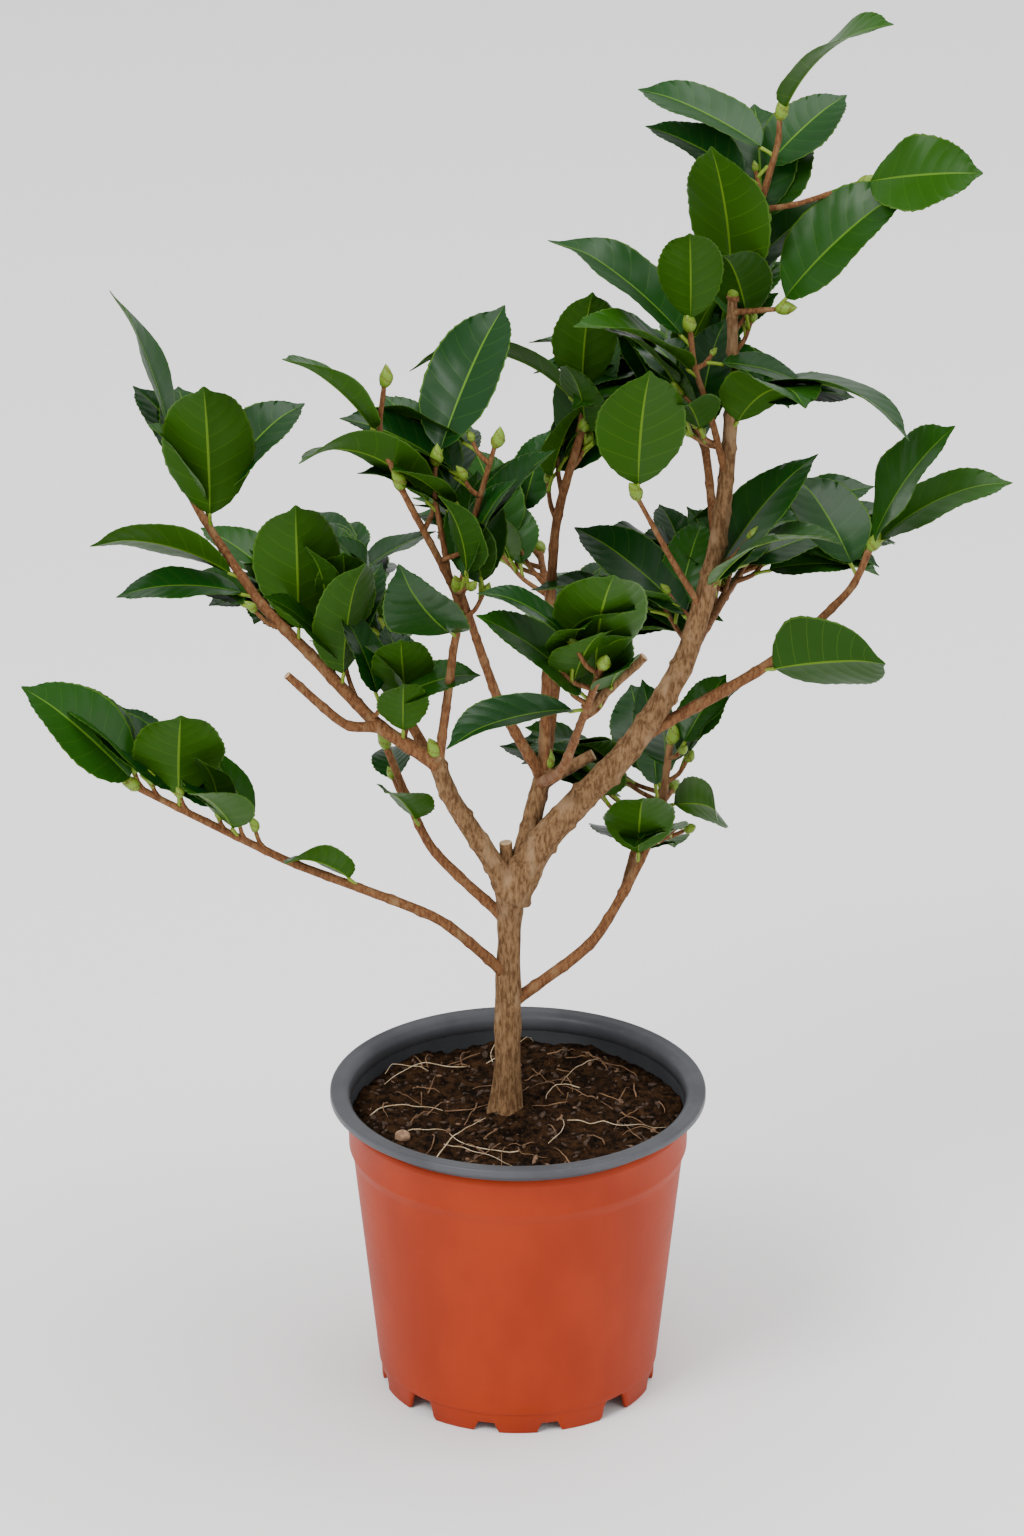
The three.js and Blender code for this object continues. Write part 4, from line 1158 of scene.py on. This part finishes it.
@dataclass
class Blade:
    """The shape of a leaf blade, worked out for a whole spray at once.

    Rows run out from the midrib and sweep forward like the side veins, columns run along the leaf.
    Each row is a ring: over the upper side from one margin to the other and back underneath.
    """

    veins: int = 7
    across: tuple[float, ...] = (-1.0, -0.96, -0.66, -0.33, -0.028, 0.0, 0.028, 0.33, 0.66, 0.96, 1.0)
    sweep: float = 0.17
    vein_half: float = 0.0035
    thickness: float = 0.42
    pucker: float = 0.32
    tooth: float = 0.4
    stalk_length: float = 8.0
    stalk_radius: float = 1.05

    def rows(self) -> tuple[Array, Array]:
        """Where the rows start on the midrib, and where each lies between two side veins, 0 to 1."""
        starts = np.linspace(0.075, 0.80, self.veins)
        gap = starts[1] - starts[0]
        offsets = np.array([-self.vein_half, self.vein_half, 0.34 * gap, 0.67 * gap])
        body = (starts[:, None] + offsets).ravel()
        between = np.tile([0.0, 0.0, 0.34, 0.67], self.veins)
        tip = np.array([0.885, 0.92, 0.95, 0.975, 0.99, 1.0])
        along = np.concatenate([[0.0, 0.02, 0.045], body, tip])
        return along, np.concatenate([[0.0, 0.3, 0.6], between, np.zeros(len(tip))])

    @staticmethod
    def outline(s: Array) -> Array:
        """Half width from foot to tip: s^0.70 (1 - s)^0.88 made 1 at its peak, with a drawn-out tip."""
        foot, point = 0.70, 0.88
        peak = foot / (foot + point)
        shape = (np.clip(s, 0, 1) / peak) ** foot * (np.clip(1 - s, 0, 1) / (1 - peak)) ** point
        return shape * (1.0 - 0.40 * bell(s, 0.955, 0.05))

    def slots(self, leaves: list[Leaf]) -> Array:
        """The slot of every face: blade, side vein, midrib or margin, for the leaf's own tint."""
        along, between = self.rows()
        t = np.array(self.across)
        middle = 0.5 * (t[:-1] + t[1:])
        vein_row = (np.diff(along) < 2.5 * self.vein_half) & (between[:-1] == 0.0) & (along[:-1] < 0.85)
        rib = np.abs(middle) < 0.03
        edge = np.abs(middle) > 0.97
        made = []
        for leaf in leaves:
            low = UNDER_OF[leaf.tint]
            names = ((UPPERS[leaf.tint.value], VEINS[leaf.tint.value], LEAF_RIB),
                     (low, UNDER_VEINS[UNDERS.index(low)], UNDER_RIB))
            sides = []
            for blade, vein, rib_finish in names:
                kinds = np.full((len(along) - 1, len(middle)), SLOT[blade.name])
                kinds[vein_row] = SLOT[vein.name]
                kinds[:, edge] = SLOT[LEAF_MARGIN.name]
                kinds[:, rib] = SLOT[rib_finish.name]
                sides.append(kinds)
            rim = np.full((len(along) - 1, 1), SLOT[LEAF_MARGIN.name])
            made.append(np.hstack([sides[0], rim, sides[1][:, ::-1], rim]))
        return np.array(made).reshape(-1)

    def shells(self, leaves: list[Leaf], wood: "Wood", rng: np.random.Generator) -> Shell:
        """The blades of a spray.

        The midline is an arc of `arch` degrees whose chord is the leaf's direction. A point lies at
        outline(s) times its column from the midline, raised by a cupped fold, a wave along the
        margin and the swelling between two veins, and by half the thickness up or down.

        Args:
            leaves: the leaves.
            wood: the stems they grow on.
            rng: the source of small differences between leaves.

        Returns:
            One shell for all blades and stalks.
        """
        count = len(leaves)
        along, between = self.rows()
        t = np.concatenate([self.across, self.across[::-1]])[None, None, :]
        upper = np.where(np.arange(t.shape[2]) < len(self.across), 1.0, -1.0)[None, None, :]
        start = along[None, :, None]
        s = start + self.sweep * np.abs(t) ** 1.25 * np.sin(np.pi * start)
        base, ahead, side, up, chord = self.chords(leaves, wood)
        length = chord[:, None, None]
        width = np.array([leaf.width or 0.48 * leaf.length for leaf in leaves])[:, None, None]
        arch = np.radians([leaf.arch for leaf in leaves])[:, None, None]
        arch = arch * rng.uniform(0.8, 1.2, (count, 1, 1))
        fold = rng.uniform(0.10, 0.34, (count, 1, 1))
        hook = rng.uniform(0.0, 0.05, (count, 1, 1))
        twist = np.radians(rng.normal(0.0, 10.0, (count, 1, 1)))
        lean = rng.normal(0.0, 0.035, (count, 1, 1))
        half = 0.5 * width * self.outline(s)
        row = np.arange(len(along))[None, :, None]
        teeth = np.where(row % 2 == 0, 1.0, -0.6) * self.tooth * np.clip(half / 5.0, 0, 1) * np.abs(t) ** 12
        reach = t * half + np.sign(t) * teeth + lean * length * s**2
        wave = rng.uniform(0.03, 0.10, (count, 1, 1)) * np.sin(
            rng.uniform(8, 13, (count, 1, 1)) * s + rng.uniform(0, 6, (count, 1, 1)) + (t > 0) * 1.7)
        cup = half * (fold * (0.35 * np.abs(t) + 0.65 * t**2) + wave * t**2)
        cup = cup - hook * length * smooth(0.6, 1, s) ** 2
        swell = self.pucker * np.sin(np.pi * between)[None, :, None] * smooth(0.05, 0.4, np.abs(t))
        swell = swell * np.clip(half / 8, 0, 1) * (1 - smooth(0.85, 1.0, np.abs(t)))
        rib = bell(t, 0.0, 0.03) * (1.0 - s) ** 0.6
        body = np.where(upper > 0, 0.5 * self.thickness - 0.35 * rib, -0.5 * self.thickness - 0.8 * rib)
        body = body * (1.0 - 0.75 * np.abs(t) ** 10) * smooth(-0.02, 0.03, s)
        height = cup + swell + body
        bend = length * (arch / 2) / np.sin(arch / 2)
        turn = arch * (0.5 - s)
        forward = bend * (np.sin(arch / 2) - np.sin(turn)) / arch
        rise = bend * (np.cos(turn) - np.cos(arch / 2)) / arch
        spin = twist * (s - 0.25)
        out = reach * np.cos(spin) - height * np.sin(spin)
        lift = reach * np.sin(spin) + height * np.cos(spin)
        forward, rise = forward - lift * np.sin(turn), rise + lift * np.cos(turn)
        points = base[:, None, None] + forward[..., None] * ahead[:, None, None]
        points = points + out[..., None] * side[:, None, None] + rise[..., None] * up[:, None, None]
        per_leaf = len(along) * t.shape[2]
        faces = grid_faces(len(along), t.shape[2], True).reshape(1, -1, 4)
        faces = faces + per_leaf * np.arange(count)[:, None, None]
        return Shell(points.reshape(-1, 3), faces.reshape(-1, 4), self.slots(leaves))

    def directions(self, leaves: list[Leaf], wood: "Wood") -> tuple[Array, Array, Array, Array]:
        """Where each blade starts, and its own axes: ahead, to the side and up from its upper face."""
        ahead = np.array([polar(leaf.heading, leaf.rise) for leaf in leaves])
        sky = np.array([0.0, 0.0, 1.0]) - ahead[:, 2:] * ahead
        up = unit(sky)
        side = np.cross(ahead, up)
        roll = np.radians([leaf.roll for leaf in leaves])[:, None]
        side, up = side * np.cos(roll) + up * np.sin(roll), up * np.cos(roll) - side * np.sin(roll)
        foot = np.array([wood.paths[leaf.stem].at(leaf.at) for leaf in leaves])
        tilt = 0.5 * np.radians([leaf.arch for leaf in leaves])[:, None]
        first = ahead * np.cos(tilt) + up * np.sin(tilt)
        return foot + self.stalk_length * first, ahead, side, up

    def chords(self, leaves: list[Leaf], wood: "Wood") -> tuple[Array, Array, Array, Array, Array]:
        """The blades' own axes, turned so that each tip lies at the leaf's full length from its stem.

        Returns:
            Where each blade starts, its axes ahead, to the side and up, and its length.
        """
        base, _, _, up = self.directions(leaves, wood)
        foot = np.array([wood.paths[leaf.stem].at(leaf.at) for leaf in leaves])
        tip = foot + np.array([polar(leaf.heading, leaf.rise, leaf.length) for leaf in leaves])
        chord = tip - base
        length = np.linalg.norm(chord, axis=1)
        ahead = chord / length[:, None]
        up = unit(up - (up * ahead).sum(1, keepdims=True) * ahead)
        return base, ahead, np.cross(ahead, up), up, length

    def stalks(self, leaves: list[Leaf], wood: "Wood") -> Shell:
        """Leaf stalks: tubes from the stem that run a little way in under the midrib."""
        start = np.array([wood.paths[leaf.stem].at(leaf.at) for leaf in leaves])[:, None]
        base, _, side, up = (part[:, None] for part in self.directions(leaves, wood))
        t = np.array([0.0, 0.0, 0.33, 0.66, 1.0, 1.22, 1.22])[None, :, None]
        radius = self.stalk_radius * np.array([0.0, 1.25, 0.95, 0.9, 1.0, 0.6, 0.0])[None, :, None, None]
        centre = start + (base - start) * t - 0.9 * up * (t * t)
        turn = np.linspace(0, 2 * np.pi, 7, endpoint=False)[None, None, :, None]
        ring = np.cos(turn) * side[:, :, None] + np.sin(turn) * up[:, :, None]
        points = centre[:, :, None] + radius * ring
        faces = grid_faces(7, 7, True).reshape(1, -1, 4) + 49 * np.arange(len(leaves))[:, None, None]
        slots = np.full(faces.size // 4, SLOT["leaf_stalk"])
        return Shell(points.reshape(-1, 3), faces.reshape(-1, 4), slots)


def solid_tree(names: list[str]) -> BVHTree:
    """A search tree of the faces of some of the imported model's nodes."""
    mesh = bmesh.new()
    for name in names:
        mesh.from_mesh(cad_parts[name].data)
    tree = BVHTree.FromBMesh(mesh)
    mesh.free()
    return tree


class Room:
    """Where the leaves that grow by rule may be: in their own mass, and within the crown's outline.

    The outline and its gaps are those of the front masses, as seen from where the plant is looked
    at: a leaf behind them stays covered, so that the crown is open where it should be.
    """

    FRONT = [spray.mass for spray in SPRAYS if not spray.mass.startswith("back_")]
    EYE = Vector((0.0, -4.42, 2.34))
    BERTH = 30.0
    PROUD = 0.008
    UNCOVERED = 50.0
    OUTSIDE = 200.0
    outline: BVHTree | None = None

    def __init__(self, mass: str, slack: float) -> None:
        """Takes the space from the mass's solid."""
        self.tree = solid_tree([mass])
        self.slack = slack
        self.taken: list[Array] = []
        if Room.outline is None:
            Room.outline = solid_tree(self.FRONT)

    def misfit(self, points: Array) -> float:
        """How far the furthest of some points lies outside, in millimetres, and more if it shows.

        Each point that the front masses leave uncovered adds UNCOVERED, and each one more than
        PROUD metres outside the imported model's box adds OUTSIDE.
        """
        far = 0.0
        low, high = Vector(CAD_BOX[0]), Vector(CAD_BOX[1])
        middle, half = (low + high) / 2, (high - low) / 2 + Vector((self.PROUD,) * 3)
        for point in points:
            spot = Vector(point * MM)
            nearest, normal, _, gap = self.tree.find_nearest(spot)
            if (spot - nearest).dot(normal) > 0.0:
                far = max(far, gap / MM)
            if Room.outline.ray_cast(spot, self.EYE - spot)[0] is None:
                far += self.UNCOVERED
            if any(abs(spot[i] - middle[i]) > half[i] for i in range(3)):
                far += self.OUTSIDE
        return far

    def crowding(self, spot: Array) -> float:
        """Millimetres by which a leaf's outer part comes nearer than the berth to one that is there."""
        if not self.taken:
            return 0.0
        return max(0.0, self.BERTH - float(np.linalg.norm(np.array(self.taken) - spot, axis=1).min()))


@dataclass
class Foliage:
    """All sprays: leaves, the small twigs that the rule grows, and the buds at the tips of twigs and stems.
    """

    GOLDEN: ClassVar[float] = 0.618
    SPIRAL: ClassVar[float] = 137.5
    TRY_TURN: ClassVar[float] = 53.0
    SPINE: ClassVar[tuple[float, ...]] = (0.4, 0.7, 1.0)
    OUTER: ClassVar[float] = 0.7
    HALF_WIDTH: ClassVar[float] = 0.24

    wood: Wood
    blade: Blade = field(default_factory=Blade)
    tries: int = 32
    twigs: list[Shell] = field(default_factory=list)
    buds: list[tuple[Array, Array, float]] = field(default_factory=list)

    def shoot(self, rule: Growth, number: int, room: Room, rng: np.random.Generator) -> str:
        """Grows one side twig: the first of some headings that keeps its tip in the mass's space.

        The heading steps by the golden part of the allowed spread, and the twig bends upwards.

        Args:
            rule: the sizes.
            number: which twig of the rule.
            room: the mass's space.
            rng: the source of small differences.

        Returns:
            The twig's name.
        """
        at = rule.start + (rule.stop - rule.start) * (number + 0.5) / rule.twigs
        start = self.wood.paths[rule.stem].at(at)
        reach = rule.reach * rng.uniform(0.75, 1.2)
        choices = []
        for step in range(self.tries):
            part = (self.GOLDEN * (number + step) + rng.uniform(0, 0.2)) % 1.0
            heading = rule.heading + rule.spread * (2.0 * part - 1.0)
            rise = rule.rise + rng.uniform(-15, 15)
            knee = start + polar(heading, rise, 0.5 * reach)
            tip = knee + polar(heading + rng.uniform(-20, 20), rise + 22, 0.5 * reach)
            choices.append((room.misfit(np.array([tip])), step, np.array([start, knee, tip])))
            if choices[-1][0] == 0.0:
                break
        name = f"{rule.stem}_shoot_{rule.start}_{number}"
        self.wood.paths[name] = Path(min(choices, key=lambda choice: choice[:2])[2])
        return name

    def grown(self, rule: Growth, room: Room, rng: np.random.Generator) -> list[Leaf]:
        """Grows side twigs and their leaves. A twig that no leaf fits on is left out.

        The leaves of a twig follow a spiral of 137.5 degrees, and those near its tip stand closer
        together and point further forward. Of some turns round the twig, each leaf takes the one
        that keeps best to the mass's space and clear of the leaves before it, and it is left out
        if none of them keeps it in.

        Args:
            rule: the sizes.
            room: the mass's space.
            rng: the source of small differences.

        Returns:
            The leaves.
        """
        leaves = []
        for number in range(rule.twigs):
            name = self.shoot(rule, number, room, rng)
            path = self.wood.paths[name]
            spin = rng.uniform(0, 360)
            before = len(leaves)
            for j in range(rule.leaves):
                along = 1.0 - 0.62 * (1.0 - (j + 1) / rule.leaves) ** 1.1
                foot, axis = path.at(along), path.tangent(along)
                across = path.frames(np.array([along]))
                size = rule.length * rng.uniform(0.82, 1.12)
                spin += self.SPIRAL
                best, least = None, room.slack
                for turn in range(self.tries):
                    angle = math.radians(spin + self.TRY_TURN * turn)
                    radial = math.cos(angle) * across[0][0] + math.sin(angle) * across[1][0]
                    wide = math.radians(rng.uniform(38, 68) * (1.25 - 0.45 * along))
                    aim = math.cos(wide) * axis + math.sin(wide) * radial + np.array([0, 0, 0.1])
                    aim = aim / np.linalg.norm(aim)
                    flat = self.HALF_WIDTH * size * unit(np.cross(aim, [0.0, 0.0, 1.0]))
                    spine = foot + np.outer(self.SPINE, size * aim)
                    misfit = room.misfit(np.vstack([spine, spine[0] + flat, spine[0] - flat]))
                    if misfit < least:
                        crowd = room.crowding(spine[1])
                        if misfit + crowd < least:
                            best, least = aim, misfit + crowd
                if best is None:
                    continue
                aim = best
                room.taken.append(foot + self.OUTER * size * aim)
                leaves.append(Leaf(
                    name, along, math.degrees(math.atan2(aim[1], aim[0])),
                    math.degrees(math.asin(np.clip(aim[2], -0.95, 0.95))), size,
                    size * rng.uniform(0.44, 0.52), rule.tints[int(rng.integers(len(rule.tints)))],
                    rng.uniform(18, 40), rng.normal(0, 14),
                ))
            if len(leaves) > before:
                self.twigs.append(tube(path, lambda a, turn: (1.5 - 0.5 * a) + 0 * turn, 8, 2.5))
                self.buds.append((path.at(1.0), path.tangent(1.0), rng.uniform(6.0, 10.0)))
        return leaves

    def bud_shells(self, rng: np.random.Generator) -> Shell:
        """Buds: pointed spindles, r = R sin(pi t^0.75)^0.9, with scales as steps round a spiral."""
        rows, sides = 15, 12
        t = np.linspace(0.0, 1.0, rows)[:, None]
        turn = np.linspace(0, 2 * np.pi, sides, endpoint=False)[None, :]
        made = []
        for foot, aim, size in self.buds:
            side, across = Path(np.array([foot, foot + aim])).frames(np.array([0.5]))
            spin = turn + rng.uniform(0, 6)
            scale = (2.5 * t + spin / np.pi) % 1.0
            radius = 0.25 * size * np.sin(np.pi * t**0.75) ** 0.9 * (1.0 + 0.12 * scale)
            ring = np.cos(turn)[..., None] * side[0] + np.sin(turn)[..., None] * across[0]
            bow = 0.06 * size * np.sin(np.pi * t)[..., None] * side[0]
            points = foot + size * (t[..., None] - 0.06) * aim + radius[..., None] * ring + bow
            faces = grid_faces(rows, sides, True)
            slots = np.where(scale[:-1] + 0 * turn > 0.78, 1, 0)
            slots[:2] = 1
            made.append(Shell(points.reshape(-1, 3), faces.reshape(-1, 4), slots.ravel()))
        return Shell.joined(made)

    def build(self, shop: Workshop) -> None:
        """Makes a piece of leaves for each spray, then the grown twigs and the buds."""
        count = 0
        for number, spray in enumerate(SPRAYS):
            rng = np.random.default_rng(SEED + 100 + number)
            leaves = list(spray.leaves)
            room = Room(spray.mass, spray.slack)
            for leaf in leaves:
                foot = self.wood.paths[leaf.stem].at(leaf.at)
                room.taken.append(foot + polar(leaf.heading, leaf.rise, self.OUTER * leaf.length))
            for rule in spray.growth:
                leaves += self.grown(rule, room, rng)
            blades = self.blade.shells(leaves, self.wood, rng)
            stalks = self.blade.stalks(leaves, self.wood)
            name = spray.mass.replace("_leaves", "_foliage")
            shop.piece(name, Shell.joined([blades, stalks]), LEAF_FINISHES, (spray.mass,))
            count += len(leaves)
        LOG.info("%d leaves in %d sprays", count, len(SPRAYS))
        shop.piece("small_twigs", Shell.joined(self.twigs), (YOUNG_BARK,))
        for stem in (*LIMBS, *TWIGS):
            if not stem.cut:
                path = self.wood.paths[stem.name]
                self.buds.append((path.at(1.0), path.tangent(1.0), 13.0))
        buds = self.bud_shells(np.random.default_rng(SEED + 5))
        shop.piece("buds", buds, (BUD_GREEN, BUD_BROWN))


# ---------------------------------------------------------------- the scene


@dataclass(frozen=True)
class Studio:
    """A pale floor, a wide soft light from the upper left, a fill and the camera."""

    eye: tuple[float, float, float] = (-0.003, -4.420, 2.337)
    aim: tuple[float, float, float] = (-0.003, 0.0, 0.338)
    lens: float = 228.4
    floor_size: float = 40.0

    def camera(self) -> None:
        """Makes the camera and points it."""
        data = bpy.data.cameras.new("camera")
        data.lens = self.lens
        data.sensor_width = 36.0
        data.clip_end = 200.0
        made = bpy.data.objects.new("camera", data)
        made.location = self.eye
        made.rotation_euler = (Vector(self.aim) - Vector(self.eye)).to_track_quat("-Z", "Y").to_euler()
        bpy.context.scene.collection.objects.link(made)
        bpy.context.scene.camera = made

    def light(self, name: str, place: tuple[float, float, float], size: float, power: float) -> None:
        """Makes a square soft light that looks at the plant's middle."""
        data = bpy.data.lights.new(name, "AREA")
        data.size = size
        data.energy = power
        made = bpy.data.objects.new(name, data)
        made.location = place
        made.rotation_euler = (Vector((0, 0, 0.3)) - Vector(place)).to_track_quat("-Z", "Y").to_euler()
        bpy.context.scene.collection.objects.link(made)

    def build(self) -> None:
        """Makes the camera, lights, sky and floor."""
        self.camera()
        self.light("key", (-1.6, -1.8, 2.8), 1.4, 95.0)
        self.light("top", (0.6, 0.4, 3.2), 2.2, 75.0)
        self.light("fill", (2.6, -2.4, 1.4), 2.2, 30.0)
        world = bpy.data.worlds.new("sky")
        world.use_nodes = True
        world.node_tree.nodes["Background"].inputs["Color"].default_value = (1.0, 1.0, 1.0, 1.0)
        world.node_tree.nodes["Background"].inputs["Strength"].default_value = 0.9
        bpy.context.scene.world = world
        corner = self.floor_size / 2
        mesh = bpy.data.meshes.new("floor")
        corners = [(-corner, -corner, 0), (corner, -corner, 0), (corner, corner, 0), (-corner, corner, 0)]
        mesh.from_pydata(corners, [], [(0, 1, 2, 3)])
        mesh.materials.append(Nodes("floor", Base_Color=(0.94, 0.94, 0.94, 1.0), Roughness=0.9).material)
        floor = bpy.data.objects.new("floor", mesh)
        bpy.context.scene.collection.objects.link(floor)


def main() -> None:
    """Builds the scene: studio, pot, soil, wood, foliage."""
    logging.basicConfig(level=logging.INFO, format="%(name)s: %(message)s")
    shop = Workshop()
    Studio().build()
    Pot().build(shop)
    Soil().build(shop)
    wood = Wood()
    wood.build(shop)
    Foliage(wood).build(shop)


if __name__ == "__main__":
    main()
